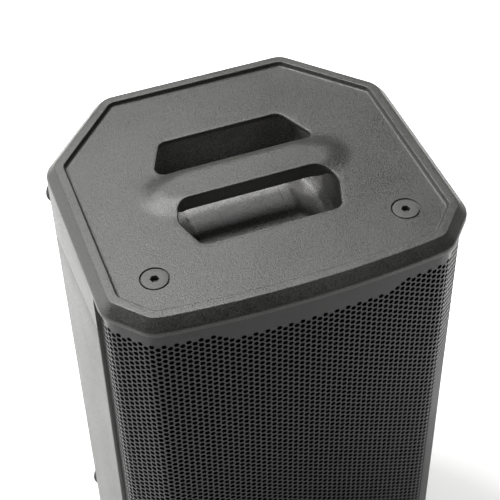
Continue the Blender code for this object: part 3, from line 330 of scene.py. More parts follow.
def surface(name, colour, rough=0.55, metallic=0.0, grain=700.0, bump=0.15, mottle=0.18, specular=0.5,
            coat=0.0, wear=0.0, fine=2600.0, spread=0.08, reach=0.18):
    """A moulded, painted or plated finish: mottled colour, grain in the bump and a roughness that varies.

    Mottle is how far the colour strays and reach how soon it gets there; spread is the same for the
    roughness. Wear lightens the exposed places that the mesh marks.
    """
    made = bpy.data.materials.new(name)
    made.use_nodes = True
    tree = made.node_tree
    shader = tree.nodes["Principled BSDF"]
    place = node(tree, "ShaderNodeTexCoord").outputs["Object"]

    def noise(scale, detail, roughness):
        item = node(tree, "ShaderNodeTexNoise", Scale=scale, Detail=detail, Roughness=roughness)
        tree.links.new(place, item.inputs["Vector"])
        return item.outputs["Fac"]

    broad = noise(14.0, 5.0, 0.6)
    small = noise(grain, 3.0, 0.65)
    tiny = noise(fine, 1.0, 0.5)
    blend = math_node(tree, "MULTIPLY_ADD", small, 0.78, math_node(tree, "MULTIPLY", broad, 0.22))
    low = tuple(c * (1 - mottle) for c in colour)
    high = tuple(min(1, c * (1 + mottle)) for c in colour)
    shade = ramp(tree, blend, [(0.5 - reach, low), (0.5, colour), (0.5 + reach, high)])
    if wear > 0:
        edge = node(tree, "ShaderNodeAttribute", attribute_name="wear").outputs["Fac"]
        patch = noise(60.0, 6.0, 0.7)
        amount = math_node(tree, "MULTIPLY", math_node(tree, "MULTIPLY", edge, patch), wear)
        mix = node(tree, "ShaderNodeMix", data_type="RGBA")
        tree.links.new(amount, mix.inputs["Factor"])
        tree.links.new(shade, mix.inputs["A"])
        mix.inputs["B"].default_value = (*[min(1, c * 1.9 + 0.02) for c in colour], 1)
        shade = mix.outputs["Result"]
    tree.links.new(shade, shader.inputs["Base Color"])
    glossy = grey(max(0.05, rough - spread))
    matt = grey(min(1, rough + spread))
    tree.links.new(ramp(tree, blend, [(0.3, glossy), (0.7, matt)]), shader.inputs["Roughness"])
    shader.inputs["Metallic"].default_value = metallic
    shader.inputs["Specular IOR Level"].default_value = specular
    if coat:
        shader.inputs["Coat Weight"].default_value = coat
        shader.inputs["Coat Roughness"].default_value = 0.08
    height = math_node(tree, "MULTIPLY_ADD", tiny, 0.4, small)
    relief = node(tree, "ShaderNodeBump", Strength=bump, Distance=0.0006)
    tree.links.new(height, relief.inputs["Height"])
    tree.links.new(relief.outputs["Normal"], shader.inputs["Normal"])
    return made


def paint(obj, material):
    obj.data.materials.clear()
    obj.data.materials.append(material)
    for polygon in obj.data.polygons:
        polygon.material_index = 0
    return obj


MOULDED = {"grain": 950, "mottle": 0.60, "fine": 2400, "spread": 0.16, "reach": 0.08}
MATS = {
    "shell": surface("shell_plastic", (0.031, 0.0317, 0.028), 0.40, bump=0.48, wear=0.30, specular=0.55,
                     **MOULDED),
    "base": surface("base_plastic", (0.044, 0.044, 0.042), 0.44, bump=0.42, specular=0.42, **MOULDED),
    # painted light: the pocket's plastic is made about five times lighter than the shell's, so its floor
    # looks as bright as if more light fell in through the hand slots
    "cup": surface("cup_plastic", (0.150, 0.149, 0.143), 0.40, bump=0.42, **MOULDED),
    "black": surface("black_plastic", (0.018, 0.018, 0.018), 0.5, grain=500, bump=0.25),
    "grille": surface("grille_steel", (0.012, 0.012, 0.012), 0.38, metallic=0.2, grain=900, bump=0.12,
                      mottle=0.3),
    "foam": surface("foam", (0.006, 0.006, 0.006), 0.95, grain=1500, bump=0.9, mottle=0.6, specular=0.1),
    "screw": surface("screw_steel", (0.050, 0.050, 0.048), 0.55, grain=900, bump=0.5, mottle=0.3,
                     specular=0.55),
    "zinc": surface("zinc_steel", (0.50, 0.50, 0.47), 0.35, metallic=1.0, grain=300, bump=0.08, mottle=0.15),
    "rubber": surface("rubber", (0.022, 0.022, 0.022), 0.72, grain=800, bump=0.25, mottle=0.25),
    "basket": surface("basket_steel", (0.02, 0.02, 0.02), 0.45, metallic=0.3, grain=700, bump=0.2),
    "cone": surface("cone_paper", (0.03, 0.03, 0.03), 0.85, grain=450, bump=0.5, mottle=0.4),
    "spider": surface("spider_cloth", (0.40, 0.27, 0.11), 0.9, grain=1200, bump=0.6, mottle=0.3),
    "copper": surface("copper_winding", (0.45, 0.20, 0.08), 0.35, metallic=0.9, grain=1800, bump=0.3),
    "ferrite": surface("ferrite", (0.05, 0.05, 0.052), 0.6, grain=400, bump=0.3, mottle=0.3),
    "panel": surface("panel_steel", (0.022, 0.022, 0.023), 0.45, metallic=0.2, grain=1100, bump=0.22,
                     mottle=0.2),
    "sink": surface("sink_aluminium", (0.03, 0.03, 0.031), 0.35, metallic=0.8, grain=500, bump=0.1,
                    mottle=0.2),
    "board": surface("circuit_board", (0.01, 0.09, 0.035), 0.4, grain=250, bump=0.2, mottle=0.5, coat=0.3),
    "sleeve": surface("capacitor_sleeve", (0.015, 0.025, 0.12), 0.35, grain=250, bump=0.05, coat=0.3),
    "socket": surface("socket_plastic", (0.013, 0.013, 0.013), 0.42, grain=600, bump=0.12),
    "nickel": surface("nickel", (0.36, 0.36, 0.34), 0.32, metallic=1.0, grain=500, bump=0.05, mottle=0.1),
    "display": surface("display_plastic", (0.006, 0.007, 0.009), 0.10, grain=60, bump=0.0, coat=0.6,
                       spread=0.03),
    "green": surface("green_lens", (0.02, 0.36, 0.06), 0.15, grain=300, bump=0.02, coat=0.5),
    "red": surface("red_lens", (0.42, 0.02, 0.012), 0.15, grain=300, bump=0.02, coat=0.5),
    "knob": surface("knob_plastic", (0.016, 0.016, 0.016), 0.6, grain=700, bump=0.2),
    "button": surface("button_rubber", (0.05, 0.05, 0.05), 0.7, grain=700, bump=0.2),
    "rocker": surface("rocker_plastic", (0.012, 0.012, 0.012), 0.28, grain=400, bump=0.05, coat=0.2),
    "mark": surface("mark_paint", (0.62, 0.62, 0.60), 0.6, grain=900, bump=0.1, mottle=0.08),
}

FINISH = {
    "base_cap": "base", "handle_cup": "cup", "front_baffle": "black", "pole_socket": "black",
    "fixing_block": "zinc", "port_tube": "black", "woofer_basket": "basket", "woofer_surround": "rubber",
    "woofer_spider": "spider", "woofer_top_plate": "zinc", "woofer_magnet": "ferrite",
    "woofer_back_plate": "zinc", "woofer_cone": "cone", "woofer_dust_cap": "cone",
    "woofer_voice_coil": "copper", "horn": "black", "compression_driver": "basket",
    "driver_cover": "black", "control_tray": "base", "amp_panel": "panel", "heat_sink": "sink",
    "amp_board": "board", "power_supply": "zinc", "capacitor": "sleeve", "combo_input": "socket",
    "link_output": "socket", "aux_socket": "nickel", "display_window": "display",
    "power_light": "green", "limit_light": "red", "mains_inlet": "socket", "rocker_frame": "socket",
    "latch_tab": "nickel", "level_knob": "knob", "menu_encoder": "knob", "menu_button": "button",
    "power_rocker": "rocker", "top_cap": "shell", "cabinet_shell": "shell", "grille": "grille",
    "grille_foam": "foam", "top_screw": "screw", "base_foot": "rubber", "monitor_foot": "rubber",
}

# the CAD pieces wear the finish with the longest key that their name starts with
for name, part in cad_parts.items():
    key = max((k for k in FINISH if name.startswith(k)), key=len)
    paint(part, MATS[FINISH[key]])


def done(obj, material, body, slot, *nodes):
    """Paints a piece, attaches it to its body, and has it stand for CAD nodes; the slot is not used."""
    paint(obj, MATS[material])
    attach(obj, body)
    if nodes:
        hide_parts(*nodes)
    return obj


def set_wear(obj, value):
    """Stores how exposed each point is, from a function of its place."""
    layer = obj.data.attributes.new("wear", "FLOAT", "POINT")
    for i, vertex in enumerate(obj.data.vertices):
        layer.data[i].value = value(vertex.co)


# ------------------------------------------------------------------ top cap


def slot_outline(front):
    """The edge of the hand slot in front of the grip bar, or of the one behind it."""
    if front:
        corners = [
            (0.0658, -0.0300, 0.020), (0.0628, -0.0103, 0.0165), (-0.0590, -0.0103, 0.0125),
            (-0.0650, -0.0300, 0.014), (-0.0560, -0.0592, 0.0095), (0.0558, -0.0592, 0.0085),
        ]
    else:
        corners = [
            (0.0688, 0.0231, 0.0060), (0.0510, 0.0611, 0.009),
            (-0.0510, 0.0611, 0.008), (-0.0680, 0.0231, 0.0085),
        ]
    return outline(corners, 0.0025)


def panel_height(x, y):
    """The top panel, swelling into a broad low crown round the grip bar."""
    ridge_half, ridge_y = 0.0620, 0.0010
    reach = 0.0290
    rise = 0.0039
    away = math.hypot(max(0.0, abs(x) - ridge_half), y - ridge_y) / reach
    # the level part of the crown narrows towards the bar's ends
    level = 0.40 - 0.36 * smoothstep(0.046, 0.070, abs(x))
    share = min(1.0, max(0.0, (away - level) / (1 - level)))
    return RECESS + rise * (1 - share ** 3 * (share * (6 * share - 15) + 10))


def inside(x, y, loop):
    """Whether a point is inside a closed loop of (x, y)."""
    hit = False
    for i in range(len(loop)):
        x0, y0 = loop[i]
        x1, y1 = loop[i - 1]
        if (y0 > y) != (y1 > y) and x < (x1 - x0) * (y - y0) / (y1 - y0) + x0:
            hit = not hit
    return hit


def fill(skin, ring, holes, height, pitch, fine=None):
    """Covers the space inside a ring, round the holes, with triangles that follow a height.

    Their size is pitch, or between y = fine[0] and y = fine[1] it is fine[2].
    """
    clear = 0.55  # of a triangle's size, from the new points to the given ones
    row_pitch = 0.87
    sliver = 8e-9  # twice the area, in square metres, under which a triangle is left out
    border = [skin.verts[i][:2] for i in ring]
    verts = [Vector(p) for p in border]
    index = list(ring)
    edges = [(i, (i + 1) % len(border)) for i in range(len(border))]
    loops = []
    for hole in holes:
        start = len(verts)
        loop = [skin.verts[i][:2] for i in hole]
        loops.append(loop)
        verts += [Vector(p) for p in loop]
        index += hole
        edges += [(start + i, start + (i + 1) % len(loop)) for i in range(len(loop))]
    fixed = len(verts)
    tree = kdtree.KDTree(fixed)
    for i, p in enumerate(verts):
        tree.insert((p.x, p.y, 0), i)
    tree.balance()

    def covered(x, y):
        return inside(x, y, border) and not any(inside(x, y, loop) for loop in loops)

    left, right = min(p[0] for p in border), max(p[0] for p in border)
    y, end = min(p[1] for p in border), max(p[1] for p in border)
    row = 0
    while y < end:
        step = fine[2] if fine and fine[0] < y < fine[1] else pitch
        x = left + (step / 2 if row % 2 else 0)
        while x < right:
            if tree.find((x, y, 0))[2] > step * clear and covered(x, y):
                verts.append(Vector((x, y)))
            x += step
        y += step * row_pitch
        row += 1
    out = geometry.delaunay_2d_cdt(verts, edges, [], 0, 1e-7)
    points, triangles, origins = out[0], out[2], out[3]
    place = []
    for i, p in enumerate(points):
        known = [o for o in origins[i] if o < fixed]
        if known:
            place.append(index[known[0]])
        else:
            place.append(len(skin.verts))
            skin.verts.append((p.x, p.y, height(p.x, p.y)))
    for triangle in triangles:
        a, b, c = (points[i] for i in triangle)
        if abs((b - a).cross(c - a)) < sliver:
            continue
        if covered((a.x + b.x + c.x) / 3, (a.y + b.y + c.y) / 3):
            skin.faces.append(tuple(place[i] for i in triangle))


def add_slot(skin, front):
    """A hand slot's rounded lip and wall; returns the ring where the lip meets the panel."""
    lip = 0.0010
    points = slot_outline(front)
    tops = [panel_height(x + nx * lip, y + ny * lip) for x, y, nx, ny in points]
    rows = []
    for k in range(5):
        a = math.pi / 2 * k / 4
        out = lip * (1 - math.sin(a))
        drop = lip * (1 - math.cos(a))
        rows.append(skin.ring([
            (x + nx * out, y + ny * out, top - drop) for (x, y, nx, ny), top in zip(points, tops)
        ]))
    # next to the bar the wall goes deeper and turns in to close the bar's underside
    towards_bar = 1.0 if front else -1.0
    shares = [smoothstep(0.55, 0.95, ny * towards_bar) for _, _, _, ny in points]
    depths = [0.4832 * (1 - s) + 0.4775 * s for s in shares]
    for drop, out in ((0.0, 0.0), (0.0014, 0.0006), (0.0020, 0.0020)):
        rows.append(skin.ring([
            (x + nx * out, y + ny * out, z - drop) for (x, y, nx, ny), z in zip(points, depths)
        ]))
    rows.append(skin.ring([
        (x + nx * 0.004, (y + ny * 0.004) * (1 - s) + BAR_Y * s, z - 0.0020)
        for (x, y, nx, ny), z, s in zip(points, depths, shares)
    ]))
    skin.bands(rows)
    return rows[0]


def add_seat(skin, x):
    """A screw's countersunk seat; returns the ring where it meets the panel."""
    profile = [
        (0.0114, 0.0), (0.01115, 0.0003), (0.0111, 0.0012),
        (0.0106, 0.0014), (0.0058, 0.0062), (0.0056, 0.012),
    ]
    rows = [skin.round(x, SCREW[1], radius, RECESS - depth, 48) for radius, depth in profile]
    skin.bands(rows)
    return rows[0]


def make_top_cap():
    """The top moulding: shoulder, rim, recessed panel with its crown, hand slots and screw seats."""
    skin = Skin()
    outer = plan(0.005)

    def seam_row(out, lift):
        """A ring along the lower edge: on the sloping seam at the sides and rear, level in front."""
        places = []
        for x, y, nx, ny in outer:
            edge = HEIGHT - FRONT_BAND
            if y > PANEL_FRONT_Y:
                edge = TOP_SEAM - TOP_SEAM_SLOPE * (y + ny * out) + SEAM_GAP
            places.append((x + nx * out, y + ny * out, edge + lift))
        return skin.ring(places)

    rows = [
        skin.loop(outer, SHOULDER - WALL, HEIGHT - 0.012),
        seam_row(SHOULDER - WALL, 0.0),
        seam_row(SHOULDER - EDGE, 0.0),
        seam_row(SHOULDER - EDGE / 3, EDGE / 3),
        seam_row(SHOULDER, EDGE),
    ]
    profile = soften([
        (SHOULDER, HEIGHT - 0.0116, 0), (SHOULDER, HEIGHT - SHOULDER - 0.0008, 0.006),
        (0.0, HEIGHT, 0.0016), (-RIM, HEIGHT, 0.0008),
        (-RIM - 0.0010, RECESS, 0.0034), (-RIM - 0.0042, RECESS, 0),
    ])
    rows += [skin.loop(outer, out, z) for out, z in profile]
    skin.bands(rows)
    holes = [add_slot(skin, True), add_slot(skin, False), add_seat(skin, -SCREW[0]), add_seat(skin, SCREW[0])]
    fill(skin, rows[-1], holes, panel_height, 0.0036, (BAR_Y - 0.032, BAR_Y + 0.032, 0.0020))
    cap = from_lists("top_cap_skin", skin.verts, skin.faces, 40)

    # coinciding points become one, and all faces turn outward
    shape = bmesh.new()
    shape.from_mesh(cap.data)
    bmesh.ops.remove_doubles(shape, verts=shape.verts, dist=0.000002)
    bmesh.ops.recalc_face_normals(shape, faces=shape.faces)
    lid = max(shape.faces, key=lambda f: f.calc_center_median().z)
    if lid.normal.z < 0:
        bmesh.ops.reverse_faces(shape, faces=shape.faces)
    shape.to_mesh(cap.data)
    shape.free()
    smooth(cap.data, 40)

    def worn(co):
        rim = 0.5 if co.z > HEIGHT - 0.0009 else 0.0
        on_bar = abs(co.y - BAR_Y) < 0.014 and abs(co.x) < 0.07
        bar = 0.35 * smoothstep(RECESS + 0.0020, RECESS + 0.0038, co.z) if on_bar else 0.0
        return max(rim, bar)

    set_wear(cap, worn)
    done(cap, "shell", "cabinet", "shell_plastic", "top_cap")


# ------------------------------------------------------------------ pocket


def cup_floor(x, y):
    """The pocket's floor: a low saddle under the bar, rolling down into a well at each end."""
    right = 1 - smoothstep(0.0405, 0.0600, x)
    left = 1 - smoothstep(0.0430, 0.0630, -x)
    return 0.4334 + 0.0122 * right * left


def make_cup():
    """The pocket that hangs under the hand slots."""
    half, rear, front = 0.0755, 0.0665, -0.0645
    top, underside = 0.4817, 0.4301
    corners = [
        (half, -0.0270, 0.024), (half - 0.002, 0.0225, 0.024), (half - 0.015, rear, 0.017),
        (-half + 0.015, rear, 0.017), (-half + 0.002, 0.0225, 0.024), (-half, -0.0270, 0.024),
        (-half + 0.014, front, 0.017), (half - 0.014, front, 0.017),
    ]
    points = outline(corners, 0.003)
    profile = [
        (-0.0150, underside), (-0.0065, 0.4335), (-0.0032, 0.442), (0.0, top - 0.003),
        (0.0066, top - 0.0026), (0.0066, top), (-0.0024, top),
    ]
    skin = Skin()
    rows = [skin.loop(points, out, z) for out, z in profile]
    # down the wall's inner face and through the fillet to the floor
    steps = 8
    for k in range(steps + 1):
        a = math.pi / 2 * k / steps
        out = -0.0026 - 0.0030 * k / steps - 0.0070 * (1 - math.cos(a))
        rise = 0.0100 * (1 - math.sin(a))
        places = [(x + nx * out, y + ny * out) for x, y, nx, ny in points]
        rows.append(skin.ring([(x, y, cup_floor(x, y) + rise) for x, y in places]))
    skin.bands(rows)
    fill(skin, rows[-1], [], cup_floor, 0.0022)
    fill(skin, rows[0], [], lambda x, y: underside, 0.02)
    # the cup finish is painted lighter than the shell: painted light on the pocket's floor and walls
    done(skin.to_object("handle_cup_skin", 75), "cup", "cabinet", "cup_plastic", "handle_cup")


def make_mould_line():
    """The fine line on the pocket's floor where the mould's two inserts meet."""
    half_width = 0.0005
    count = 40
    sides = [[], [], []]
    for k in range(count + 1):
        y = -0.0480 + 0.0900 * k / count
        x = 0.0300 + 0.0036 * smoothstep(-0.045, 0.025, y)
        z = cup_floor(x, y)
        sides[0].append((x - half_width, y, z - 0.0001))
        sides[1].append((x, y, z + 0.0003))
        sides[2].append((x + half_width, y, z - 0.0001))
    line = Skin()
    line.bands([line.ring(side) for side in sides], False)
    seam = from_lists("pocket_mould_line", line.verts, line.faces, 60)
    done(seam, "cup", "cabinet", "cup_plastic")


# ------------------------------------------------------------------ shell and base


def make_shell():
    """The wrap of the two sides and the rear, open in front for the grille."""
    outer = plan(0.006)
    start = next(
        i for i, (x, y, _, _) in enumerate(outer) if x > 0 and y > PANEL_FRONT_Y > outer[i - 1][1]
    )
    points = [p for p in outer[start:] + outer[:start] if p[1] > PANEL_FRONT_Y]
    skin = Skin()

    def column(p, pull):
        """An upright section through the wall, moved in by pull."""
        x, y, nx, ny = p
        top = TOP_SEAM - TOP_SEAM_SLOPE * y - SEAM_GAP
        low = BASE_SEAM + BASE_SEAM_GAP
        inner, face = SHOULDER - WALL, SHOULDER
        nip = 0.3 * EDGE
        section = [(inner, low), (face - EDGE, low), (face - nip, low + nip), (face, low + EDGE)]
        count = 14
        for k in range(1, count):
            section.append((face, low + EDGE + (top - low - 2 * EDGE) * k / count))
        section += [(face, top - EDGE), (face - nip, top - nip), (face - EDGE, top), (inner, top)]
        return [(x + nx * (d - pull), y + ny * (d - pull), z) for d, z in section]

    def end_column(p, back, pull):
        """A section at a front end of the wall, its outer face pulled in to round the edge."""
        plain = column(p, 0.0)
        pulled = column(p, pull)
        pulled[0], pulled[-1] = plain[0], plain[-1]
        return skin.ring([(b[0], a[1] + back, a[2]) for a, b in zip(plain, pulled)])

    rounding = [(0.0, 0.0007), (0.0002, 0.0002), (0.0007, 0.0)]
    rows = [end_column(points[0], back, pull) for back, pull in rounding]
    rows += [skin.ring(column(p, 0.0)) for p in points[1:-1]]
    rows += [end_column(points[-1], back, pull) for back, pull in reversed(rounding)]
    skin.bands(rows)
    skin.cap(rows[0])
    skin.cap(rows[-1])
    shell = skin.to_object("cabinet_shell_skin", 35)

    # the rear is cut out round the control tray
    low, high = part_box("control_tray")
    gap = 0.0006
    block = bmesh.new()
    bmesh.ops.create_cube(block, size=1.0)
    size = (high[0] - low[0] + gap, 0.06, high[2] - low[2] + gap)
    bmesh.ops.scale(block, vec=size, verts=block.verts)
    bmesh.ops.translate(block, vec=(0, 0.125, (high[2] + low[2]) / 2), verts=block.verts)
    cutter = from_bmesh("cut", block)
    modifier = shell.modifiers.new("cut", "BOOLEAN")
    modifier.object = cutter
    modifier.solver = "EXACT"
    evaluated = shell.evaluated_get(bpy.context.evaluated_depsgraph_get())
    mesh = bpy.data.meshes.new_from_object(evaluated)
    shell.modifiers.clear()
    shell.data = mesh
    bpy.data.objects.remove(cutter, do_unlink=True)
    smooth(shell.data, 35)
    set_wear(shell, lambda co: 1.0 if abs(co.y - PANEL_FRONT_Y) < 0.0012 else 0.0)
    done(shell, "shell", "cabinet", "shell_plastic", "cabinet_shell")


def make_base():
    """The base moulding, with a rounded lower edge and a hole for the pole socket."""
    hole_y, hole_radius = 0.026, 0.0246
    skin = Skin()
    outer = plan(0.006)
    tops = [BASE_SEAM - BASE_SEAM_GAP if y > PANEL_FRONT_Y else BASE + FRONT_BAND for _, y, _, _ in outer]

    def top_row(out, drop):
        return skin.ring([
            (x + nx * out, y + ny * out, z - drop) for (x, y, nx, ny), z in zip(outer, tops)
        ])

    profile = soften([
        (-0.009, BASE, 0), (0.0, BASE, 0.003),
        (SHOULDER, BASE + SHOULDER + 0.0008, 0.006), (SHOULDER, BASE + 0.0118, 0),
    ])
    rows = [skin.loop(outer, out, z) for out, z in profile]
    rows += [
        top_row(SHOULDER, EDGE),
        top_row(SHOULDER - EDGE / 3, EDGE / 3),
        top_row(SHOULDER - EDGE, 0.0),
        top_row(SHOULDER - WALL, 0.0),
        skin.loop(outer, SHOULDER - WALL, BASE + 0.010),
    ]
    skin.bands(rows)
    hole = skin.round(0.0, hole_y, hole_radius, BASE, 64)
    fill(skin, rows[0], [hole], lambda x, y: BASE, 0.02)
    skin.band(hole, skin.round(0.0, hole_y, hole_radius, BASE + 0.005, 64))
    done(skin.to_object("base_cap_skin", 40), "base", "cabinet", "base_plastic", "base_cap")


# ------------------------------------------------------------------ grille


def front_curve(distance, rear_y):
    """Points with normals, and lengths, along the front and round its corners, left to right."""
    side = corner_arc(FRONT_CORNER, RIM_CORNERS[0], (SIDE_X, 0.05), 0.020 - distance, 40)
    right = corner_arc(FRONT_AIM, FRONT_CORNER, RIM_CORNERS[0], CORNER, 24) + side
    left = [(-x, y, -nx, ny) for x, y, nx, ny in reversed(right)]
    points = [(-SIDE_X, rear_y, -1.0, 0.0)] + left + front_arc(0.0, 160, 0.006) + right
    points.append((SIDE_X, rear_y, 1.0, 0.0))
    placed = [(x + nx * distance, y + ny * distance, nx, ny) for x, y, nx, ny in points]
    lengths = [0.0]
    for a, b in zip(placed, placed[1:]):
        lengths.append(lengths[-1] + math.hypot(b[0] - a[0], b[1] - a[1]))
    middle = lengths[-1] / 2
    return placed, [s - middle for s in lengths]


class Bend:
    """Maps a flat (s, z, depth) onto the front's curve."""

    def __init__(self, distance, rear_y):
        self.points, self.lengths = front_curve(distance, rear_y)
        self.half = self.lengths[-1]

    def at(self, s, z, depth=0.0):
        s = min(max(s, -self.half), self.half)
        i = min(bisect.bisect_right(self.lengths, s), len(self.lengths) - 1)
        start, end = self.lengths[i - 1], self.lengths[i]
        t = (s - start) / max(1e-9, end - start)
        a, b = self.points[i - 1], self.points[i]
        x, y, nx, ny = (a[k] + (b[k] - a[k]) * t for k in range(4))
        size = math.hypot(nx, ny)
        return (x - nx / size * depth, y - ny / size * depth, z)


def make_grille():
    """A pierced sheet: staggered hexagonal holes, with a plain border that dips at the top."""
    bend = Bend(0.0040, PANEL_FRONT_Y - 0.0003)
    low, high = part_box("grille")
    bottom, top = low[2], high[2]
    thick = 0.0010
    radius = 0.00216
    pitch_s, pitch_z = 0.00452, 0.00522
    limit_low = bottom + 0.0095

    def limit_top(s):
        """The lower edge of the plain border above the holes."""
        x = bend.at(s, 0)[0]
        dip = smoothstep(-0.077, -0.058, x) * (1 - smoothstep(0.066, 0.087, x))
        return HEIGHT - 0.0235 - 0.0085 * dip

    # points 2k and 2k + 1 of the sheet are its front and its back at flat[k]
    flat, edges, verts, faces = [], [], [], []

    def add_loop(loop, is_hole):
        """Adds the wall between the sheet's two faces along an anticlockwise loop of (s, z)."""
        start = len(flat)
        for k, (s, z) in enumerate(loop):
            flat.append((s, z))
            verts.append(bend.at(s, z))
            verts.append(bend.at(s, z, thick))
            a, b = start + k, start + (k + 1) % len(loop)
            edges.append((a, b))
            if is_hole:
                a, b = b, a
            faces.append((2 * a, 2 * a + 1, 2 * b + 1, 2 * b))

    corners = [(-bend.half, bottom), (bend.half, bottom), (bend.half, top), (-bend.half, top)]
    border = []
    for (s0, z0), (s1, z1), count in zip(corners, corners[1:] + corners[:1], (130, 60, 130, 60)):
        border += [(s0 + (s1 - s0) * k / count, z0 + (z1 - z0) * k / count) for k in range(count)]
    add_loop(border, False)
    centre = (top + bottom) / 2
    columns = int((bend.half - 0.0040) / pitch_s)
    rows = int((top - bottom) / pitch_z / 2) + 2
    for i in range(-columns, columns + 1):
        s = i * pitch_s
        for j in range(-rows, rows + 1):
            z = centre + (j + (0.5 if i % 2 else 0.0)) * pitch_z
            if z + radius > limit_top(s) or z - radius < limit_low:
                continue
            turns = [math.pi / 3 * k for k in range(6)]
            add_loop([(s + radius * math.cos(a), z + radius * math.sin(a)) for a in turns], True)

    # the two faces, from one triangulation of the flat sheet; a triangle within one hole is left out
    scale = 10  # the triangulation runs on larger numbers than metres
    out = geometry.delaunay_2d_cdt([Vector((s * scale, z * scale)) for s, z in flat], edges, [], 0, 1e-6)
    for triangle in out[2]:
        group = [out[3][i][0] for i in triangle]
        holes = {(g - len(border)) // 6 for g in group}
        if min(group) >= len(border) and len(holes) == 1:
            continue
        faces.append(tuple(2 * g for g in group))
        faces.append(tuple(2 * g + 1 for g in reversed(group)))
    grille = from_lists("grille_sheet", verts, faces, 25)
    done(grille, "grille", "cabinet", "grille_steel", "grille")


def edge_loop(grid):
    """The ring round the edge of a grid of rows."""
    return grid[0] + [row[-1] for row in grid[1:]] + grid[-1][-2::-1] + [row[0] for row in grid[-2:0:-1]]


def make_foam():
    """The thin foam behind the grille, its front a little uneven."""
    bend = Bend(0.0024, PANEL_FRONT_Y - 0.006)
    low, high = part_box("grille_foam")
    columns, rows = 120, 90
    skin = Skin()
    sheets = []
    for depth, rough in ((0.0001, 0.00022), (0.0023, 0.0)):
        grid = []
        for j in range(rows + 1):
            z = low[2] + (high[2] - low[2]) * j / rows
            row = []
            for i in range(columns + 1):
                s = -bend.half + 2 * bend.half * i / columns
                jitter = 0.5 + 0.5 * math.sin(i * 12.9898 + j * 78.233) * math.cos(i * 3.7 - j * 5.1)
                row.append(bend.at(s, z, depth + rough * jitter))
            grid.append(skin.ring(row))
        skin.bands(grid, False)
        sheets.append(grid)
    skin.band(edge_loop(sheets[0]), edge_loop(sheets[1]))
    foam = skin.to_object("grille_foam_sheet", 60)
    done(foam, "foam", "cabinet", "foam", "grille_foam")


# ------------------------------------------------------------------ fittings


def key_ring(skin, x, y, radius, z, count):
    """A level hexagonal ring with as many points as the round rings it joins."""
    places = []
    for k in range(count):
        a = 2 * math.pi * k / count
        local = (a + math.radians(12)) % (math.pi / 3) - math.pi / 6
        d = radius * math.cos(math.pi / 6) / math.cos(local)
        places.append((x + d * math.cos(a), y + d * math.sin(a), z))
    return skin.ring(places)


def make_screws():
    """Countersunk screws with a hexagonal key hole, flush with the panel."""
    count = 60
    head, key = 0.0101, 0.0034
    profile = [
        (0.0049, 0.028), (0.0050, 0.0066), (head - 0.0001, 0.0011), (head, 0.0008), (head, 0.00035),
        (head - 0.0003, 0.00008), (head - 0.0007, 0.0), (0.0052, 0.00002),
    ]
    key_hole = [(key + 0.0004, 0.00004), (key, 0.0004), (key, 0.0044)]
    for side, x in (("left", -SCREW[0]), ("right", SCREW[0])):
        skin = Skin()
        rows = [skin.round(x, SCREW[1], radius, RECESS - depth, count) for radius, depth in profile]
        rows += [key_ring(skin, x, SCREW[1], radius, RECESS - depth, count) for radius, depth in key_hole]
        skin.bands(rows)
        skin.cap(rows[0])
        skin.cap(rows[-1])
        screw = skin.to_object("top_screw_skin_" + side, 30)
        done(screw, "screw", "cabinet", "screw_steel", "top_screw_" + side)


def make_monitor_foot(name, part):
    """A domed foot on the slanting side, with a small dimple in its tip."""
    direction = Vector((-0.731815, 0.681503, 0.0))
    across = Vector((-direction.y, direction.x, 0))
    along = [v.co.dot(direction) for v in part.data.vertices]
    sideways = [v.co.dot(across) for v in part.data.vertices]
    low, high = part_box(name)
    foot_base = min(along)
    tall = max(along) - foot_base
    start = 0.0003  # the profile's height where the CAD foot begins
    profile = [
        (0.0, start), (0.0113, start), (0.0115, 0.0006), (0.0115, 0.0011), (0.0109, 0.0016), (0.0103, 0.0026),
    ]
    step, count = 6.6, 12
    for k in range(1, count + 1):
        a = math.radians(step * k)
        share = math.sin(a) / math.sin(math.radians(step * count))
        profile.append((0.0034 + 0.0066 * math.cos(a), 0.0030 + (tall - 0.0028) * share))
    profile += [
        (0.0040, tall + start), (0.0026, tall + 0.0002), (0.0023, tall - 0.0006), (0.0, tall - 0.0006),
    ]
    foot = lathe(name + "_skin", profile)
    centre = across * ((min(sideways) + max(sideways)) / 2) + direction * (foot_base - start)
    centre.z = (low[2] + high[2]) / 2
    turn = direction.to_track_quat("Z", "Y").to_matrix().to_4x4()
    foot.data.transform(Matrix.Translation(centre) @ turn)
    done(foot, "rubber", "cabinet", "rubber", name)


def make_base_foot(name):
    """A round foot under the base, with the recess of its screw."""
    profile = [
        (0.0, 0.0057), (0.0155, 0.0057), (0.0160, 0.0054), (0.0158, 0.0030), (0.0152, 0.0012),
        (0.0146, 0.0004), (0.0138, 0.0), (0.0046, 0.0), (0.0042, 0.0004), (0.0040, 0.0024), (0.0, 0.0024),
    ]
    low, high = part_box(name)
    foot = lathe(name + "_skin", profile)
    foot.data.transform(Matrix.Translation(((low[0] + high[0]) / 2, (low[1] + high[1]) / 2, 0)))
    done(foot, "rubber", "cabinet", "rubber", name)


def make_feet():
    for name, part in list(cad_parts.items()):
        if name.startswith("monitor_foot"):
            make_monitor_foot(name, part)
        elif name.startswith("base_foot"):
            make_base_foot(name)


def make_pointers():
    """A painted line on the face of each turning knob, pointing up at rest."""
    for name in ("level_knob_1", "level_knob_2", "menu_encoder"):
        low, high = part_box(name)
        radius = (high[0] - low[0]) / 2
        centre = ((low[0] + high[0]) / 2, high[1], (low[2] + high[2]) / 2 + 0.55 * radius)
        shape = bmesh.new()
        size = Matrix.Diagonal((0.0013, 0.0004, 0.62 * radius, 1))
        bmesh.ops.create_cube(shape, size=1.0, matrix=Matrix.Translation(centre) @ size)
        done(from_bmesh(name + "_pointer", shape), "mark", name, "knob_plastic")


make_top_cap()
make_cup()
make_mould_line()
make_shell()
make_base()
make_grille()
make_foam()
make_screws()
make_feet()
make_pointers()

# ------------------------------------------------------------------ floor, light, camera


